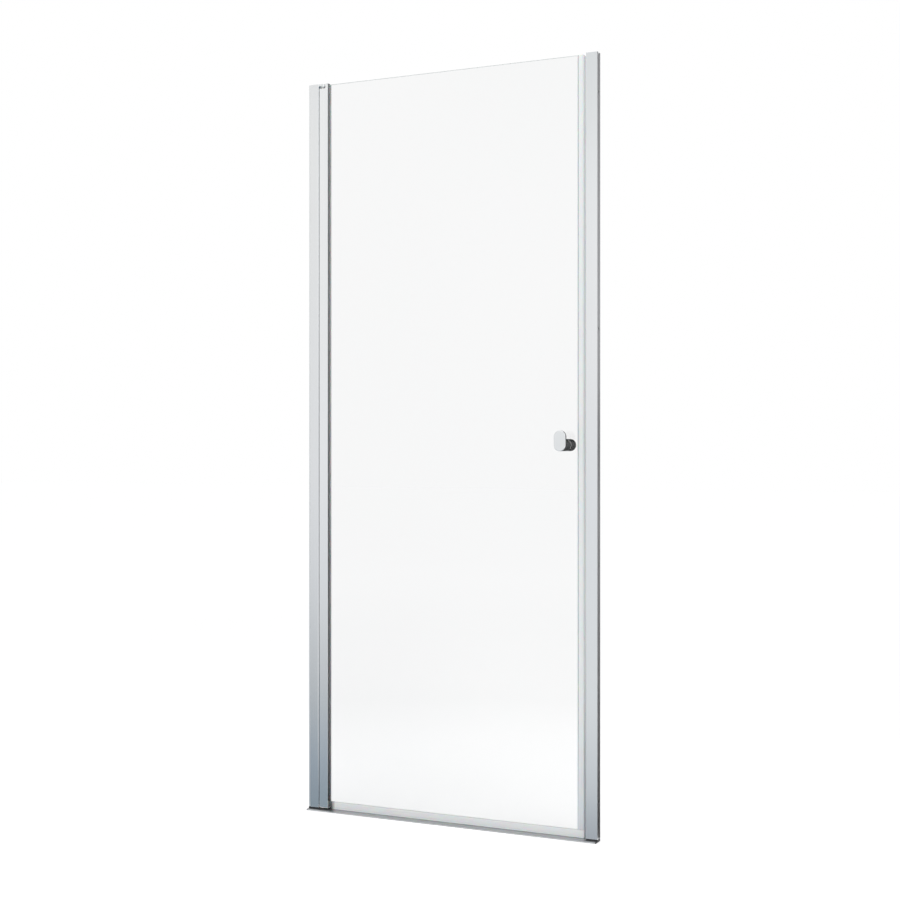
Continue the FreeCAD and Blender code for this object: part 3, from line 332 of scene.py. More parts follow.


# the foot colour is painted shade that darkens a seal towards its foot, and it fades out by the top
# height given with it, in metres
# foldAt is the place of the lip fold from the hinge side of the door seal, and its half width; the
# darker colour there is painted shade
# the two ends of the painted corner shade are measured along the lower seal, from its end at the
# stile
sealLook = {
    "clearSeal": {
        "thick": (0.95, 0.96, 0.97), "thin": (0.98, 0.985, 0.99),
        "clear": 0.06, "smooth": 0.22, "dull": 0.36,
        "footShade": (0.76, 0.79, 0.83), "footShadeTop": 0.32,
        "lipFoldShade": (0.50, 0.53, 0.55), "foldAt": (2.4, 1.1),
    },
    "lowerSeal": {
        "thick": (0.95, 0.955, 0.96), "thin": (0.98, 0.985, 0.99),
        "clear": 0.06, "smooth": 0.22, "dull": 0.36,
        "corner": (0.06, 0.065, 0.07), "cornerShadeFrom": 1.5, "cornerShadeTo": 14.0,
    },
    "clearGasket": {
        "thick": (0.93, 0.94, 0.95), "thin": (0.96, 0.965, 0.97),
        "clear": 0.35, "smooth": 0.26, "dull": 0.40,
        "footShade": (0.46, 0.48, 0.51), "footShadeTop": 0.95,
    },
    "greySeal": {
        "thick": (0.69, 0.71, 0.72), "thin": (0.79, 0.81, 0.82),
        "clear": 0.0, "smooth": 0.30, "dull": 0.46,
        "footShade": (0.37, 0.40, 0.44), "footShadeTop": 0.42,
    },
}
softSurface = {"milky": 0.35, "milkyDepth": 1.5, "hairlines": 0.35, "bump": 0.3, "depth": 0.03}


def flexible(name, stretch):
    # soft extrusion: milky in the bulk, with die lines along its length
    look = sealLook[name]
    finish = Finish(name, IOR=1.45, Transmission_Weight=look["clear"])
    finish.set(
        Subsurface_Weight=softSurface["milky"], Subsurface_Scale=mm(softSurface["milkyDepth"]),
    )
    lines = finish.use(drawnLines, Stretch=stretch, Hairlines=softSurface["hairlines"])["Lines"]
    colour = finish.mix(lines, look["thick"], look["thin"])
    along, _, up = finish.add("ShaderNodeSeparateXYZ", {0: finish.place}).outputs
    # painted shade along the fold of the lips
    if "lipFoldShade" in look:  # the fold along the lips that hold the glass
        middle, half = (mm(value) for value in look["foldAt"])
        fold = finish.calc("COMPARE", along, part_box("door_magnet_seal")[0][0] + middle, half)
        colour = finish.mix(fold, colour, look["lipFoldShade"])
    # painted shade with dirt, darkest at the stile and gone further along the seal
    if "corner" in look:  # dirt and shade in the corner between the lower seal and the stile
        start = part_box("bottom_drip_seal")[0][0]
        reach = [start + mm(look[end]) for end in ("cornerShadeFrom", "cornerShadeTo")]
        colour = finish.mix(fade(finish.tree, along, *reach), look["corner"], colour)
    # painted shade: the seal turns darker towards its foot
    if "footShade" in look:
        unshaded = fade(finish.tree, up, 0.0, look["footShadeTop"])
        colour = finish.mix(unshaded, look["footShade"], colour)
    finish.paint(colour, finish.span(lines, look["smooth"], look["dull"]))
    finish.bump(lines, softSurface)
    return finish.material


glassLook = {
    "pane": (0.935, 0.937, 0.938), "edge": (0.66, 0.74, 0.72), "groundEdge": 0.7, "edgeRough": 0.35,
    "grain": 3000.0, "markSize": 5.0, "marks": 0.012, "bump": 0.2, "depth": 0.03,
}


def clearGlass():
    # clear in the pane, matt and green where the edges are ground
    finish = Finish("clearGlass", IOR=1.5, Transmission_Weight=1.0)
    low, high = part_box("glass_panel")
    centre, half = (low + high) / 2, (high - low) / 2
    apart = finish.add("ShaderNodeSeparateXYZ", {0: finish.place}).outputs
    edges = []
    for axis in (0, 2):
        away = finish.calc("ABSOLUTE", finish.calc("SUBTRACT", apart[axis], centre[axis]))
        limit = half[axis] - mm(glassLook["groundEdge"])
        edges.append(finish.calc("GREATER_THAN", away, limit))
    ground = finish.calc("MAXIMUM", *edges)
    grain = finish.use(mouldGrain, Grain_Size=glassLook["grain"])["Grain"]
    colour = finish.mix(ground, glassLook["pane"], glassLook["edge"])
    rough = finish.span(ground, 0.0, glassLook["edgeRough"])
    finish.paint(colour, rough, finish.marks(glassLook))
    finish.bump(finish.calc("MULTIPLY", ground, grain), glassLook)
    return finish.material


uprightLines, acrossLines = (1.0, 1.0, 0.004), (0.004, 1.0, 1.0)
finishes = {
    "profile_aluminium": drawnAluminium("polishedAluminium", uprightLines),
    "bracket_metal": plating("bracketPlating"),
    "knob_chrome": plating("knobPlating"),
    "clear_glass": clearGlass(),
    "clear_seal": flexible("clearSeal", uprightLines),
    "grey_seal": flexible("greySeal", uprightLines),
    "magnet": moulded("magnetRubber"),
    "gasket": flexible("clearGasket", uprightLines),
    "black_plastic": moulded("blackPlastic"),
    "white_nylon": moulded("whiteNylon"),
    "steel": turnedSteel(),
}
plainAluminium = drawnAluminium("plainAluminium", uprightLines)  # inside the posts
ownFinish = {
    "hinge_stile": drawnAluminium("stileAluminium", uprightLines),
    "threshold": drawnAluminium("shadedSillAluminium", acrossLines),
    "wall_channel_hinge": plainAluminium,
    "wall_channel_strike": plainAluminium,
    "bottom_drip_seal": flexible("lowerSeal", acrossLines),
}
print("finishes made:", len(bpy.data.materials))


def bodyOf(node):
    return frame["nodes"][node]["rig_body"]


def finishPiece(piece, nodeName):
    # puts a built piece in the place of its CAD node
    slotName = slotOf[nodeName]
    piece.data.materials.clear()
    piece.data.materials.append(ownFinish.get(nodeName, finishes[slotName]))
    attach(piece, bodyOf(nodeName))
    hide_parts(nodeName)


def newPiece(name, data):
    piece = bpy.data.objects.new(name, data)
    bpy.context.scene.collection.objects.link(piece)
    return piece


def smoothFaces(piece, sharpAngle=40):
    mesh = piece.data
    mesh.shade_smooth()
    mesh.set_sharp_from_angle(angle=math.radians(sharpAngle))
    normals = piece.modifiers.new("flat faces stay flat", "WEIGHTED_NORMAL")
    normals.keep_sharp = True


def shapedMesh(piece):
    # what the piece's modifiers make of it, as a plain mesh
    bpy.context.view_layer.update()
    shaped = piece.evaluated_get(bpy.context.evaluated_depsgraph_get())
    return bpy.data.meshes.new_from_object(shaped)


def applyModifiers(piece):
    mesh = shapedMesh(piece)
    piece.modifiers.clear()
    piece.data = mesh


def combine(piece, other, operation):
    modifier = piece.modifiers.new("joined", "BOOLEAN")
    modifier.object, modifier.operation, modifier.solver = other, operation, "EXACT"
    applyModifiers(piece)
    bpy.data.objects.remove(other)


def meshFrom(shape, name):
    mesh = bpy.data.meshes.new(name)
    shape.to_mesh(mesh)
    shape.free()
    return mesh


def joinRings(shape, first, second):
    # faces between two closed rings of points, one of which may be a single point
    count = max(len(first), len(second))
    for i in range(count):
        j = (i + 1) % count
        around = ((first, i), (first, j), (second, j), (second, i))
        corners = [ring[k % len(ring)] for ring, k in around]
        shape.faces.new(list(dict.fromkeys(corners)))


def lathe(name, profile, centre, axis, segments):
    # turns (radius, height) corners about an axis through the centre
    shape = bmesh.new()
    angles = [2 * math.pi * i / segments for i in range(segments)]
    rings = []
    for radius, height in profile:
        if radius == 0:
            places = [(0, 0, height)]
        else:
            places = [(radius * math.cos(a), radius * math.sin(a), height) for a in angles]
        rings.append([shape.verts.new(mm(*place)) for place in places])
    pairs = list(zip(rings, rings[1:]))
    if len(rings[0]) > 1 and len(rings[-1]) > 1:
        pairs.append((rings[-1], rings[0]))
    for first, second in pairs:
        joinRings(shape, first, second)
    bmesh.ops.recalc_face_normals(shape, faces=shape.faces)
    turn = Vector((0, 0, 1)).rotation_difference(Vector(axis)).to_matrix().to_4x4()
    bmesh.ops.transform(shape, matrix=Matrix.Translation(Vector(centre)) @ turn, verts=shape.verts)
    return meshFrom(shape, name)


def rounded(start, corner, end, steps=5):
    # points of a quarter round between two (radius, height) points
    points = []
    for i in range(steps + 1):
        t = i / steps * math.pi / 2
        a, b = 1 - math.sin(t), 1 - math.cos(t)
        point = (c + a * (s - c) + b * (e - c) for s, c, e in zip(start, corner, end))
        points.append(tuple(point))
    return points


easedPieces = {
    "wall_channel_hinge": 0.15,
    "wall_channel_strike": 0.15,
    "hinge_post": 0.25,
    "strike_post": 0.25,
    "hinge_stile": 0.25,
    "threshold": 0.25,
    "top_pivot_bracket": 0.35,
    "strike_post_top_cap": 0.45,
    "bottom_pivot_bracket": 0.30,
    "strike_post_foot": 0.30,
    "threshold_end_cap_left": 0.25,
    "threshold_end_cap_right": 0.25,
    "stile_top_plug": 0.30,
    "stile_bottom_plug": 0.20,
    "top_pivot_bush": 0.15,
    "bottom_pivot_bush": 0.15,
    "thrust_washer": 0.15,
    "top_pivot_pin": 0.30,
    "bottom_pivot_pin": 0.30,
    "knob_washer_outer": 0.20,
    "knob_washer_inner": 0.20,
}
easing = {"segments": 2, "profile": 0.6, "sharperThan": 28, "flatWithin": 1, "merge": 0.001}
bossSizes = {
    "axis": (-359.5, -9.8), "bottom": 1891.5, "rim": 3.0, "widened": 4.6,
    "bottomWithin": 0.05, "rimWithin": 0.1,
}


def fillBossRim(shape):
    # the rim of the cast boss is fuller than the solid's bevel
    axis = Vector(mm(*bossSizes["axis"]))
    for vert in shape.verts:
        out = vert.co.xy - axis
        atBottom = abs(vert.co.z - mm(bossSizes["bottom"])) < mm(bossSizes["bottomWithin"])
        if atBottom and abs(out.length - mm(bossSizes["rim"])) < mm(bossSizes["rimWithin"]):
            vert.co.xy = axis + out.normalized() * mm(bossSizes["widened"])


def easedPiece(node, width):
    # a merged copy of the CAD shape, with a small round on every edge
    shape = bmesh.new()
    shape.from_mesh(frame["nodes"][node].data)
    bmesh.ops.remove_doubles(shape, verts=shape.verts, dist=mm(easing["merge"]))
    bmesh.ops.dissolve_limit(
        shape, angle_limit=math.radians(easing["flatWithin"]), verts=shape.verts, edges=shape.edges,
    )
    if node == "top_pivot_bracket":
        fillBossRim(shape)
    piece = newPiece(node + "_eased", meshFrom(shape, node + "_eased"))
    ease = piece.modifiers.new("eased edges", "BEVEL")
    ease.width, ease.segments, ease.profile = mm(width), easing["segments"], easing["profile"]
    ease.limit_method, ease.angle_limit = "ANGLE", math.radians(easing["sharperThan"])
    ease.use_clamp_overlap = True
    applyModifiers(piece)
    low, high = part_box(node)  # a bevel can push a sharp corner a little way out of the box
    for vert in piece.data.vertices:
        vert.co = [min(max(value, least), most) for value, least, most in zip(vert.co, low, high)]
    smoothFaces(piece)
    finishPiece(piece, node)


for node, width in easedPieces.items():
    easedPiece(node, width)
print("eased pieces:", len(easedPieces))


def geometryTree(name, inputs):
    tree = bpy.data.node_groups.new(name, "GeometryNodeTree")
    for socket, kind, value in [("Geometry", "NodeSocketGeometry", None), *inputs]:
        made = tree.interface.new_socket(socket, in_out="INPUT", socket_type=kind)
        if value is not None:
            made.default_value = value
    tree.interface.new_socket("Geometry", in_out="OUTPUT", socket_type="NodeSocketGeometry")
    return tree, tree.nodes.new("NodeGroupInput").outputs, tree.nodes.new("NodeGroupOutput").inputs


def endTree(tree, geometry, given, out):
    # real geometry with its material
    real = addNode(tree, "GeometryNodeRealizeInstances", {0: geometry}).outputs[0]
    painted = {"Geometry": real, "Material": given["Material"]}
    tree.links.new(addNode(tree, "GeometryNodeSetMaterial", painted).outputs[0], out["Geometry"])


def applyTree(piece, tree, values):
    # sets the tree's inputs by their identifiers, and gives its result as a plain mesh
    modifier = piece.modifiers.new(tree.name, "NODES")
    modifier.node_group = tree
    for item in tree.interface.items_tree:
        if item.item_type == "SOCKET" and item.in_out == "INPUT" and item.name in values:
            modifier[item.identifier] = values[item.name]
    mesh = shapedMesh(piece)
    bpy.data.objects.remove(piece)
    return mesh


def makeExtrusionTree():
    # section curve -> rounded corners -> filled -> drawn out -> turned and put in place
    tree, given, out = geometryTree(
        "extrudedSection",
        [
            ("Corner Radius", number, 0.0002), ("Corner Points", "NodeSocketInt", 3),
            ("Length", number, 1.0), ("Place", vector, (0, 0, 0)), ("Turn", vector, (0, 0, 0)),
            ("Material", "NodeSocketMaterial", None),
        ],
    )
    fillet = addNode(tree, "GeometryNodeFilletCurve", {
        "Curve": given["Geometry"], "Radius": given["Corner Radius"], "Limit Radius": True,
        "Count": given["Corner Points"],
    }, mode="POLY")
    filled = addNode(tree, "GeometryNodeFillCurve", {"Curve": fillet.outputs[0]}, mode="NGONS")
    drawn = addNode(tree, "GeometryNodeExtrudeMesh", {
        "Mesh": filled.outputs[0], "Offset Scale": given["Length"], "Individual": False,
    }, mode="FACES")
    base = addNode(tree, "GeometryNodeFlipFaces", {"Mesh": filled.outputs[0]})
    joined = addNode(tree, "GeometryNodeJoinGeometry")
    tree.links.new(drawn.outputs["Mesh"], joined.inputs[0])
    tree.links.new(base.outputs[0], joined.inputs[0])
    merged = addNode(tree, "GeometryNodeMergeByDistance", {
        "Geometry": joined.outputs[0], "Distance": mm(0.001),
    })
    placed = addNode(tree, "GeometryNodeTransform", {
        "Geometry": merged.outputs[0], "Translation": given["Place"], "Rotation": given["Turn"],
    })
    endTree(tree, placed.outputs[0], given, out)
    return tree


extrusionTree = makeExtrusionTree()
cornerPoints = 3  # in each rounded corner of a section
upwards, downwards = (0, 0, 0), (math.pi, 0, 0)
towardsRear = (-math.pi / 2, 0, 0)
alongDoor = (math.pi / 2, 0, math.pi / 2)  # a section drawn in Y and Z, drawn out along X


def extrudedPiece(node, loops, length, place, radius, turn=upwards):
    curve = bpy.data.curves.new(node + "_section", "CURVE")
    curve.dimensions = "2D"
    curve.fill_mode = "NONE"
    for loop in loops:
        spline = curve.splines.new("POLY")
        spline.points.add(len(loop) - 1)
        for point, (x, y) in zip(spline.points, loop):
            point.co = (mm(x), mm(y), 0, 1)
        spline.use_cyclic_u = True
    mesh = applyTree(newPiece(node + "_drawing", curve), extrusionTree, {
        "Corner Radius": mm(radius), "Corner Points": cornerPoints, "Length": length,
        "Place": place, "Turn": turn, "Material": ownFinish.get(node, finishes[slotOf[node]]),
    })
    shape = bmesh.new()
    shape.from_mesh(mesh)
    bmesh.ops.recalc_face_normals(shape, faces=shape.faces)
    shape.to_mesh(mesh)
    shape.free()
    piece = newPiece(node + "_drawn", mesh)
    smoothFaces(piece)
    finishPiece(piece, node)


doorSeal = {  # from the free edge of the glass, in millimetres
    "reach": 5.8, "cornerRadius": 0.25,
    "outside": [
        (-11.2, -2.55), (-11.0, -2.95), (-9.0, -3.0), (-5.0, -3.3), (5.8, -3.4), (5.8, 3.4),
        (-5.0, 3.3), (-9.0, 3.0), (-11.0, 2.95), (-11.2, 2.55), (-0.05, 2.53), (-0.05, -2.53),
    ],
    "chamber": [(0.9, -2.5), (4.9, -2.5), (4.9, 2.5), (0.9, 2.5)],
}
strikeSeal = {  # from the front of its nose
    "cornerRadius": 0.15,
    "outside": [
        (0, -3.4), (5.0, -3.4), (5.0, -1.6), (6.2, -1.1), (8.6, -1.1), (8.75, -2.9), (8.98, -2.9),
        (9.0, -1.1), (10.7, -1.1), (10.7, -2.6), (12.2, -1.1), (12.2, 1.1), (10.7, 2.6),
        (10.7, 1.1), (9.0, 1.1), (8.98, 2.9), (8.75, 2.9), (8.6, 1.1), (6.2, 1.1), (5.0, 1.6),
        (5.0, 3.4), (0, 3.4),
    ],
    "chamber": [(0.9, -2.5), (4.1, -2.5), (4.1, 2.5), (0.9, 2.5)],
}
dripSeal = {  # Y, and height above the tray
    "cornerRadius": 0.2,
    "outside": [
        (-3.4, 11.8), (-2.75, 11.8), (-2.9, 9.0), (-3.0, 6.5), (-2.75, 3.85), (-2.3, 3.85),
        (-2.2, 6.5), (-1.9, 9.2), (-1.5, 11.8), (1.5, 11.8), (2.3, 10.2), (3.3, 8.6), (4.1, 7.45),
        (4.28, 7.65), (3.6, 9.2), (2.7, 11.0), (2.5, 11.8), (3.4, 11.8), (3.3, 19.0), (2.9, 23.1),
        (2.53, 23.3), (2.53, 12.98), (-2.53, 12.98), (-2.53, 23.3), (-2.9, 23.1), (-3.3, 19.0),
    ],
}
gasketSection = {  # from the outer side of the stile and the face of the glass, for the front one
    "glassHalf": 2.5, "standsOut": 0.8, "rearThicker": 0.2, "cornerRadius": 0.15,
    "outside": [
        (-9.2, -0.03), (0.8, -0.03), (0.78, -0.9), (0.5, -1.45), (0.12, -1.48), (0.02, -0.68),
        (-9.2, -0.68),
    ],
}
sealBox = {name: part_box(name) for name in (
    "door_magnet_seal", "strike_magnet_seal", "bottom_drip_seal",
    "glazing_gasket_front", "glazing_gasket_rear",
)}


def makeSeals():
    node, section = "door_magnet_seal", doorSeal
    low, high = sealBox[node]
    loops = [section["outside"], section["chamber"]]
    place = (high.x - mm(section["reach"]), 0, low.z)
    extrudedPiece(node, loops, high.z - low.z, place, section["cornerRadius"])

    node, section = "strike_magnet_seal", strikeSeal
    low, high = sealBox[node]
    loops = [section["outside"], section["chamber"]]
    extrudedPiece(node, loops, high.z - low.z, (low.x, 0, low.z), section["cornerRadius"])

    node, section = "bottom_drip_seal", dripSeal
    low, high = sealBox[node]
    place = (low.x, 0, 0)
    extrudedPiece(
        node, [section["outside"]], high.x - low.x, place, section["cornerRadius"], alongDoor,
    )

    section = gasketSection
    for node, side in (("glazing_gasket_front", 1), ("glazing_gasket_rear", -1)):
        low, high = sealBox[node]
        place = (high.x - mm(section["standsOut"]), mm(-section["glassHalf"] * side), low.z)
        loop = [(x, side * y) for x, y in section["outside"]]
        if side < 0:  # all but the face on the glass moves back
            loop = [(x, y + section["rearThicker"] if y > 0.1 else y) for x, y in loop]
        extrudedPiece(node, [loop], high.z - low.z, place, section["cornerRadius"])


makeSeals()
print("flexible extrusions drawn:", len(sealBox))


knobSizes = {
    "axis": (312.0, 955.0), "rise": 20.0, "plateRadius": 15.2, "plateBack": 32.0, "reach": 40.0,
    "edge": 1.5, "stemRadius": 14.8, "stemStart": 3.5, "stemEase": 0.5, "stemInPlate": 0.6,
    "boreRadius": 3.1, "outerBore": 18.0, "innerBore": 25.0, "endRound": 2.6,
    "setScrewRadius": 2.05, "setScrewPlace": 12.0, "setScrewDepth": 16.0,
    "segments": 96, "sharpAngle": 35,
    "backEdge": [(0.0, 1.2), (0.15, 0.6), (0.55, 0.15), (1.1, 0.0)],  # from the back, and inwards
    "crown": [(0.05, 2.0), (0.01, 5.0), (0.0, 8.0)],  # short of the front, and in from the edge
}


def plateRing(inset, steps=28):
    # outline of the oblong plate, with its lower round about the knob's axis
    radius = knobSizes["plateRadius"] - inset
    points = []
    for centre, start in ((knobSizes["rise"], 0.0), (0.0, math.pi)):
        for i in range(steps + 1):
            angle = start + math.pi * i / steps
            points.append((radius * math.cos(angle), centre + radius * math.sin(angle)))
    return points


def knobPlate(frontRound=6, crownRise=0.12):
    back, front, edge = knobSizes["plateBack"], knobSizes["reach"], knobSizes["edge"]
    sections = [(back + depth, inset) for depth, inset in knobSizes["backEdge"]]
    for i in range(frontRound + 1):
        angle = math.pi / 2 * i / frontRound
        depth = front - crownRise - edge * (1 - math.sin(angle))
        sections.append((depth, edge * (1 - math.cos(angle))))
    sections += [(front - short, edge + inset) for short, inset in knobSizes["crown"]]
    axisX, axisZ = knobSizes["axis"]
    shape = bmesh.new()
    rings = [
        [shape.verts.new(mm(axisX + x, -depth, axisZ + z)) for x, z in plateRing(inset)]
        for depth, inset in sections
    ]
    for first, second in zip(rings, rings[1:]):
        joinRings(shape, first, second)
    shape.faces.new(rings[0])
    shape.faces.new(rings[-1])
    bmesh.ops.recalc_face_normals(shape, faces=shape.faces)
    return meshFrom(shape, "knob_plate")


def makeKnob():
    radius, start, bore = knobSizes["stemRadius"], knobSizes["stemStart"], knobSizes["boreRadius"]
    axisX, axisZ = knobSizes["axis"]
    centre, segments = mm(axisX, 0, axisZ), knobSizes["segments"]
    ease = knobSizes["stemEase"]
    easedRim = rounded((radius - ease, start), (radius, start), (radius, start + ease))

    boreEnd, stemEnd = knobSizes["outerBore"], knobSizes["plateBack"] + knobSizes["stemInPlate"]
    profile = [(0, boreEnd), (bore, boreEnd), (bore, start), *easedRim]
    profile += [(radius, stemEnd), (0, stemEnd)]
    outer = newPiece("outer_knob_cast", knobPlate())
    stem = newPiece("knob_stem", lathe("knob_stem", profile, centre, (0, -1, 0), segments))
    combine(outer, stem, "UNION")
    smoothFaces(outer, knobSizes["sharpAngle"])
    finishPiece(outer, "outer_knob")

    boreEnd, end, reach = knobSizes["innerBore"], knobSizes["endRound"], knobSizes["reach"]
    shoulder = reach - 0.15  # from here the end is very slightly domed
    profile = [
        (0, boreEnd), (bore, boreEnd), (bore, start), *easedRim,
        *rounded((radius, reach - end), (radius, shoulder), (radius - end, shoulder), 10),
        (radius * 0.4, reach - 0.02), (0, reach),
    ]
    inner = newPiece("inner_knob_turned", lathe("inner_knob", profile, centre, (0, 1, 0), segments))
    holeRadius, depth = knobSizes["setScrewRadius"], knobSizes["setScrewDepth"]
    profile = [(0, 0), (holeRadius, 0), (holeRadius, depth), (0, depth)]
    place = mm(axisX, knobSizes["setScrewPlace"], axisZ)
    hole = newPiece("set_screw_hole", lathe("set_screw_hole", profile, place, (0, 0, -1), 40))
    combine(inner, hole, "DIFFERENCE")
    smoothFaces(inner, knobSizes["sharpAngle"])
    finishPiece(inner, "inner_knob")


makeKnob()
print("knob made")


screwSizes = {  # dome: share of the head's radius, and drop from its top
    "rear": {
        "head": 3.1, "height": 2.0, "shank": 1.5, "recess": 1.9, "recessDepth": 1.2,
        "dome": [(0, 0), (0.45, 0.02), (0.75, 0.25), (0.93, 0.75), (1, 1.3)],
    },
    "end": {"head": 2.9, "height": 1.5, "shank": 1.5, "recess": 1.7, "recessDepth": 1.2},
}
threadSizes = {
    "pitch": 0.6, "depth": 0.22, "startsAt": 0.3, "plainEnd": 1.0, "tip": 0.2, "tipShare": 0.6,
}
recessSizes = {"blade": 0.42, "above": 0.3, "lowerReach": 0.45, "lowerBlade": 0.7}
mostTurn = 1.5  # radians between two crosses, as they happened to be driven home
screwRows = {
    "hinge_post_screws": {"length": 1.8, "seed": 11},
    "strike_post_screws": {"length": 1.8, "seed": 23},
    "stile_plug_screws": {"length": 6.0, "seed": 37},
}
endScrews = {"length": 14.0, "upperSeed": 41, "lowerSeed": 53}


def crossRecess(screw, top):
    # the tapered cross that a driver fits in
    reach, depth = screwSizes[screw]["recess"], screwSizes[screw]["recessDepth"]
    blade = recessSizes["blade"]
    levels = (
        (top + recessSizes["above"], reach, blade),
        (top - depth, reach * recessSizes["lowerReach"], blade * recessSizes["lowerBlade"]),
    )
    quarters = [Matrix.Rotation(quarter * math.pi / 2, 3, "Z") for quarter in range(4)]
    shape = bmesh.new()
    rings = []
    for height, long, wide in levels:
        arm = [Vector((*corner, height)) for corner in ((long, -wide), (long, wide), (wide, wide))]
        places = [turn @ corner * mm(1) for turn in quarters for corner in arm]
        rings.append([shape.verts.new(place) for place in places])
    upper, lower = rings
    shape.faces.new(upper)
    shape.faces.new(reversed(lower))
    joinRings(shape, lower, upper)
    bmesh.ops.recalc_face_normals(shape, faces=shape.faces)
    return newPiece("cross_recess", meshFrom(shape, "cross_recess"))


def screwMesh(screw, length):
    # along Z, with the bearing face of a rear head, or the top of a sunk head, at zero
    sizes = screwSizes[screw]
    head, height, shank = sizes["head"], sizes["height"], sizes["shank"]
    if screw == "rear":
        profile = [(head * share, height - drop) for share, drop in sizes["dome"]]
        profile += [(head, 0.12), (head - 0.12, 0), (shank, 0)]
        top, neck = height, 0.0
    else:
        profile = [(0, 0), (head - 0.15, 0), (head, -0.1), (shank, -height)]
        top, neck = 0.0, -height
    pitch, core = threadSizes["pitch"], shank - threadSizes["depth"]
    for i in range(int((length - threadSizes["plainEnd"]) / pitch)):
        z = neck - threadSizes["startsAt"] - i * pitch
        profile += [(shank, z), (core, z - pitch / 2)]
    tip = neck - length
    profile += [(shank * threadSizes["tipShare"], tip + threadSizes["tip"]), (0, tip)]
    piece = newPiece("screw", lathe("screw", profile, (0, 0, 0), (0, 0, 1), 28))
    combine(piece, crossRecess(screw, top), "DIFFERENCE")
    mesh = piece.data
    bpy.data.objects.remove(piece)
    return mesh


def makeScrewRowTree():
    # one screw -> a row of them, each turned by an amount of its own
    tree, given, out = geometryTree(
        "screwRow",
        [
            ("Count", "NodeSocketInt", 2), ("First", vector, (0, 0, 0)),
            ("Pitch", vector, (0, 0, 1)), ("Direction", vector, (0, 0, 0)),
            ("Seed", "NodeSocketInt", 1), ("Most Turn", number, 1.5),
            ("Material", "NodeSocketMaterial", None),
        ],
    )
    row = addNode(tree, "GeometryNodeMeshLine", {
        "Count": given["Count"], "Start Location": given["First"], "Offset": given["Pitch"],
    })
    spin = addNode(tree, "FunctionNodeRandomValue", {
        "Seed": given["Seed"], "Max": given["Most Turn"],
    }, data_type="FLOAT")
    spun = addNode(tree, "ShaderNodeCombineXYZ", {"Z": spin.outputs["Value"]})
    driven = addNode(tree, "FunctionNodeRotateRotation", rotation_space="LOCAL")
    facing = addNode(tree, "FunctionNodeEulerToRotation", {0: given["Direction"]})
    turned = addNode(tree, "FunctionNodeEulerToRotation", {0: spun.outputs[0]})
    tree.links.new(facing.outputs[0], driven.inputs[0])
    tree.links.new(turned.outputs[0], driven.inputs[1])
    copies = addNode(tree, "GeometryNodeInstanceOnPoints", {
        "Points": row.outputs[0], "Instance": given["Geometry"], "Rotation": driven.outputs[0],
    })
    endTree(tree, copies.outputs[0], given, out)
    return tree


screwRowTree = makeScrewRowTree()


def screwRow(screw, length, **row):
    drawing = newPiece("one_screw", screwMesh(screw, length))
    values = {**row, "Most Turn": mostTurn, "Material": finishes["steel"]}
    return applyTree(drawing, screwRowTree, values)


def driveScrews(node, mesh):
    piece = newPiece(node + "_driven", mesh)
    smoothFaces(piece)
    finishPiece(piece, node)


def makeScrews():
    head, height = screwSizes["rear"]["head"], screwSizes["rear"]["height"]
    for node, row in screwRows.items():
        low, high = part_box(node)
        first = ((low.x + high.x) / 2, high.y - mm(height), low.z + mm(head))
        pitch = (0, 0, high.z - low.z - mm(2 * head))
        driveScrews(node, screwRow(
            "rear", row["length"],
            Count=2, First=first, Pitch=pitch, Direction=towardsRear, Seed=row["seed"],
        ))
    low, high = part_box("end_screws")
    middle = ((low.x + high.x) / 2, (low.y + high.y) / 2)
    ends = ((high.z, upwards, endScrews["upperSeed"]), (low.z, downwards, endScrews["lowerSeed"]))
    shape = bmesh.new()
    for z, direction, seed in ends:
        shape.from_mesh(screwRow(
            "end", endScrews["length"],
            Count=1, First=(*middle, z), Pitch=(0, 0, 0), Direction=direction, Seed=seed,
        ))
    driveScrews("end_screws", meshFrom(shape, "end_screws_driven"))


makeScrews()
print("screws made")


keptNodes = (
    "glass_panel", "door_magnet_strip", "strike_magnet_strip",
    "knob_sleeve", "knob_stud", "knob_set_screw",
)
for node in keptNodes:
    for place in frame["nodes"][node].material_slots:
        place.material = finishes[slotOf[node]]
print("CAD pieces kept:", len(keptNodes))


def seenDirectly(tree):
    # 1 for what the camera, glass and metal show of the background
    path = addNode(tree, "ShaderNodeLightPath").outputs
    some = calc(tree, "MAXIMUM", path["Is Camera Ray"], path["Is Glossy Ray"])
    return calc(tree, "MAXIMUM", some, path["Is Transmission Ray"])


worldLook = {"ambient": 0.84, "shown": 1.0}


def makeWorld():
    world = bpy.data.worlds.new("studio")
    bpy.context.scene.world = world
    world.use_nodes = True
    tree = world.node_tree
    tree.nodes.clear()
    ambient, shown = (
        addNode(tree, "ShaderNodeBackground", {
            "Color": (1, 1, 1, 1), "Strength": worldLook[name],
        }).outputs[0]
        for name in ("ambient", "shown")
    )
    both = addNode(tree, "ShaderNodeMixShader", {0: seenDirectly(tree), 1: ambient, 2: shown})
    out = tree.nodes.new("ShaderNodeOutputWorld")
    tree.links.new(both.outputs[0], out.inputs["Surface"])


def tones(tree, along, stops):
    # a tone that changes with distance, in (distance, colour) stops
    low, high = stops[0][0], stops[-1][0]
    ramp = addNode(tree, "ShaderNodeValToRGB", {0: fade(tree, along, low, high)})
    elements = ramp.color_ramp.elements
    while len(elements) < len(stops):
        elements.new(0.5)
    for element, (where, tone) in zip(elements, stops):
        element.position = (where - low) / (high - low)
        element.color = (*tone, 1)
    return ramp.outputs[0]


floorLook = {  # lift: (distance from the middle of the door, added brightness) stops
    "size": 60, "below": 0.2, "rough": 0.9, "grain": 40.0, "cloud": 1.2,
    "light": (0.86, 0.86, 0.86), "darker": 0.985,
    # an even lift makes the floor white; its changes with distance are painted light that evens out
    # the lamps' pool and the door's shadow
    "lift": [(0.1, 0.415), (0.5, 0.345), (1.9, 0.24), (7.0, 0.285)],
}


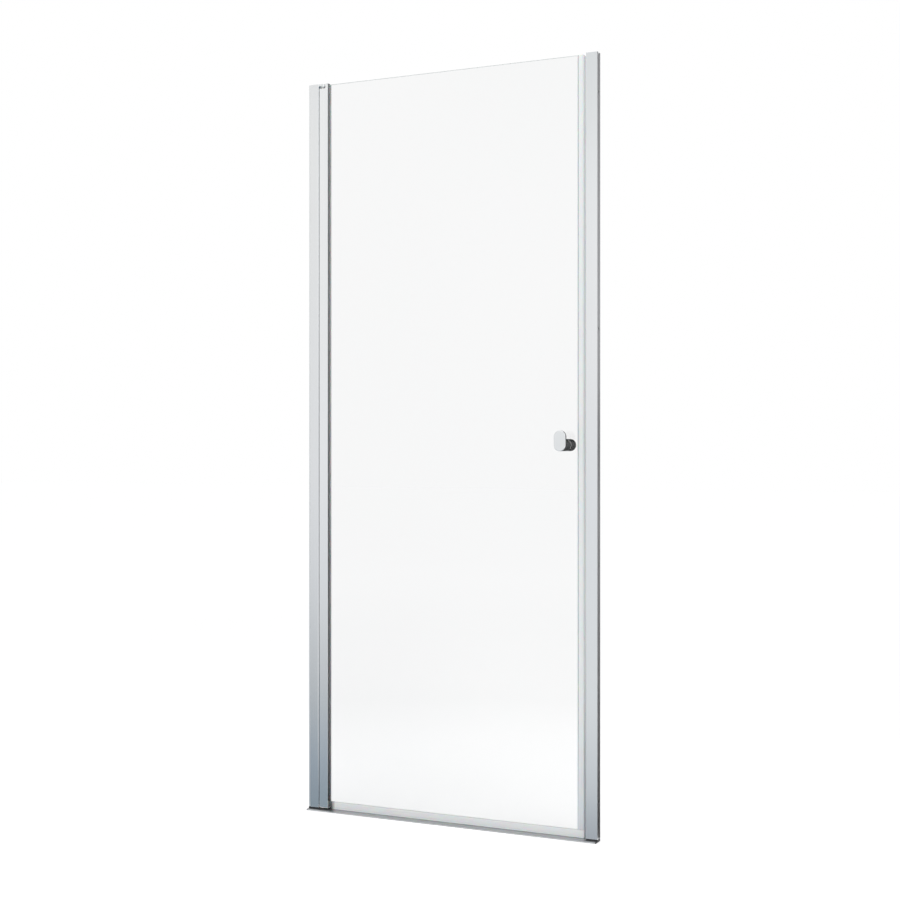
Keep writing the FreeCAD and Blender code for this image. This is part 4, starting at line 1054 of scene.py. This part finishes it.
def makeFloor():
    place = (0, 0, -mm(floorLook["below"]))
    bpy.ops.mesh.primitive_plane_add(size=floorLook["size"], location=place)
    floor = bpy.context.object
    floor.name = "floor"
    finish = Finish(
        "paleFloor", Roughness=floorLook["rough"], Specular_IOR_Level=0.0,
        Emission_Color=(1, 1, 1, 1),
    )
    pattern = finish.use(mouldGrain, Grain_Size=floorLook["grain"], Tone_Size=floorLook["cloud"])
    dark = [floorLook["darker"] * value for value in floorLook["light"]]
    finish.link(finish.mix(pattern["Tone"], dark, floorLook["light"]), "Base Color")
    away = finish.add("ShaderNodeVectorMath", {0: finish.place}, operation="LENGTH")
    stops = [(distance, (lift, lift, lift)) for distance, lift in floorLook["lift"]]
    level = tones(finish.tree, away.outputs["Value"], stops)
    lift = finish.calc("MULTIPLY", seenDirectly(finish.tree), level)
    finish.link(lift, "Emission Strength")
    floor.data.materials.append(finish.material)


def ringRow(node, depth, radius, steps=24):
    # points of a circle round a node's middle, at a depth behind the door
    middle = sum(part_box(node), Vector()) / 2
    points = []
    for i in range(steps + 1):
        angle = 2 * math.pi * i / steps
        place = (middle.x + radius * math.cos(angle), depth, middle.z + radius * math.sin(angle))
        points.append(place)
    return points


outAndUp = (0, -0.35, 1)  # out along the floor from the sill, then up the card
inAndUp = (0, 0.1, 1)
flags = {  # rows of corners, and (distance along the run, colour) stops
    "frontFlag": {
        "rows": [
            [(-3.2, -1.6, 3.4), (1.4, -1.6, 3.4)],
            [(-3.2, -1.6, 0.02), (1.4, -1.6, 0.02)],
            [(-3.2, -0.032, 0.002), (1.4, -0.032, 0.002)],
        ],
        "run": outAndUp,
        "tones": [
            (0.0, (0.28, 0.34, 0.39)), (0.2, (0.37, 0.43, 0.49)), (0.55, (0.55, 0.58, 0.60)),
            (0.95, (0.76, 0.78, 0.80)), (1.4, (0.88, 0.89, 0.90)), (2.6, (0.97, 0.97, 0.96)),
            (3.6, (0.94, 0.95, 0.95)),
        ],
        "turn": (1, -0.446, 0), "turnsAt": (-0.30, 0.24),
        "rightTones": [
            (0.0, (0.42, 0.46, 0.50)), (0.2, (0.66, 0.70, 0.73)), (0.6, (0.84, 0.87, 0.88)),
            (1.3, (0.89, 0.91, 0.93)), (2.0, (1.0, 1.0, 1.0)), (2.4, (0.99, 1.0, 1.0)),
            (2.9, (0.86, 0.88, 0.88)),
        ],
    },
    "stileFlag": {  # for the right side of the stile
        "rows": [
            [(0.04, 1.0, 3.2), (0.43, 1.0, 3.2)],
            [(0.04, 1.0, 0.01), (0.43, 1.0, 0.01)],
            [(-0.345, 0.012, 0.003), (-0.25, 0.012, 0.003)],
        ],
        "run": inAndUp,
        "tones": [
            (0.0, (0.0, 0.0, 0.0)), (0.5, (0.012, 0.014, 0.015)), (1.5, (0.045, 0.046, 0.047)),
            (2.3, (0.085, 0.086, 0.087)),
        ],
    },
    "wallFlag": {  # for the wall side of the strike post
        "rows": [
            [(0.55, 1.0, 3.2), (1.9, 1.0, 3.2)],
            [(0.55, 1.0, 0.01), (1.9, 1.0, 0.01)],
            [(0.38, 0.012, 0.003), (1.0, 0.012, 0.003)],
        ],
        "run": inAndUp,
        "tones": [
            (0.0, (0.0, 0.0, 0.0)), (0.55, (0.10, 0.102, 0.104)), (1.5, (0.32, 0.325, 0.33)),
            (2.25, (0.17, 0.172, 0.175)),
        ],
    },
    "knobFlag": {  # a small black ring behind the glass, for the stem
        "rows": [ringRow("outer_knob", 0.26, 0.055), ringRow("outer_knob", 0.26, 0.175)],
        "run": (0, 0, 1),
        "tones": [(0.81, (0.0, 0.0, 0.0)), (1.10, (0.03, 0.032, 0.034))],
    },
}


def makeFlag(name, look):
    # a studio card that only reflections show; its right half may have tones of its own
    shape = bmesh.new()
    rows = [[shape.verts.new(corner) for corner in row] for row in look["rows"]]
    for first, second in zip(rows, rows[1:]):
        for i in range(len(first) - 1):
            shape.faces.new((first[i], first[i + 1], second[i + 1], second[i]))
    card = newPiece(name, meshFrom(shape, name))
    material = bpy.data.materials.new(name)
    material.use_nodes = True
    tree = material.node_tree
    tree.nodes.clear()
    place = addNode(tree, "ShaderNodeTexCoord").outputs["Object"]

    def distance(direction):
        inputs = {0: place, 1: direction}
        node = addNode(tree, "ShaderNodeVectorMath", inputs, operation="DOT_PRODUCT")
        return node.outputs["Value"]

    along = distance(look["run"])
    tone = tones(tree, along, look["tones"])
    if "rightTones" in look:
        across, smooth = distance(look["turn"]), {"interpolation_type": "SMOOTHSTEP"}
        side = fade(tree, across, *look["turnsAt"], **smooth)
        tone = mixColours(tree, side, tone, tones(tree, along, look["rightTones"]))
    glow = addNode(tree, "ShaderNodeEmission", {"Color": tone})
    clear = addNode(tree, "ShaderNodeBsdfTransparent")
    depth = addNode(tree, "ShaderNodeLightPath").outputs["Glossy Depth"]
    mirrored = calc(tree, "GREATER_THAN", depth, 0.5)
    seen = addNode(tree, "ShaderNodeMixShader", {
        0: mirrored, 1: clear.outputs[0], 2: glow.outputs[0],
    })
    out = tree.nodes.new("ShaderNodeOutputMaterial")
    tree.links.new(seen.outputs[0], out.inputs["Surface"])
    card.data.materials.append(material)
    card.visible_shadow = False
    card.visible_diffuse = False


def aim(piece, direction):
    piece.rotation_euler = Vector(direction).to_track_quat("-Z", "Y").to_euler()


lamps = {
    "overhead": {"place": (0.6, -1.2, 4.2), "size": 3.0, "power": 26},
    "frontRight": {"place": (2.8, -3.2, 2.6), "size": 2.0, "power": 16},
}
lampTarget = (0, 0, 1.0)


def makeLamp(name, look):
    light = bpy.data.lights.new(name, "AREA")
    light.size, light.energy = look["size"], look["power"]
    lamp = newPiece(name, light)
    lamp.location = look["place"]
    aim(lamp, Vector(lampTarget) - Vector(look["place"]))
    lamp.visible_camera = False


cameraLook = {
    "place": (1.6073, -3.4247, 0.9429), "looksAlong": (-0.4244, 0.9055, 0.0),
    "lens": 60, "sensor": 36, "seesTo": 200,
}


def makeCamera():
    camera = bpy.data.cameras.new("camera")
    camera.lens, camera.sensor_width = cameraLook["lens"], cameraLook["sensor"]
    camera.clip_end = cameraLook["seesTo"]
    holder = newPiece("camera", camera)
    holder.location = cameraLook["place"]
    aim(holder, cameraLook["looksAlong"])
    bpy.context.scene.camera = holder


makeWorld()
makeFloor()
for name, look in flags.items():
    makeFlag(name, look)
for name, look in lamps.items():
    makeLamp(name, look)
makeCamera()
bpy.context.scene.view_settings.view_transform = "Standard"
print("studio set")
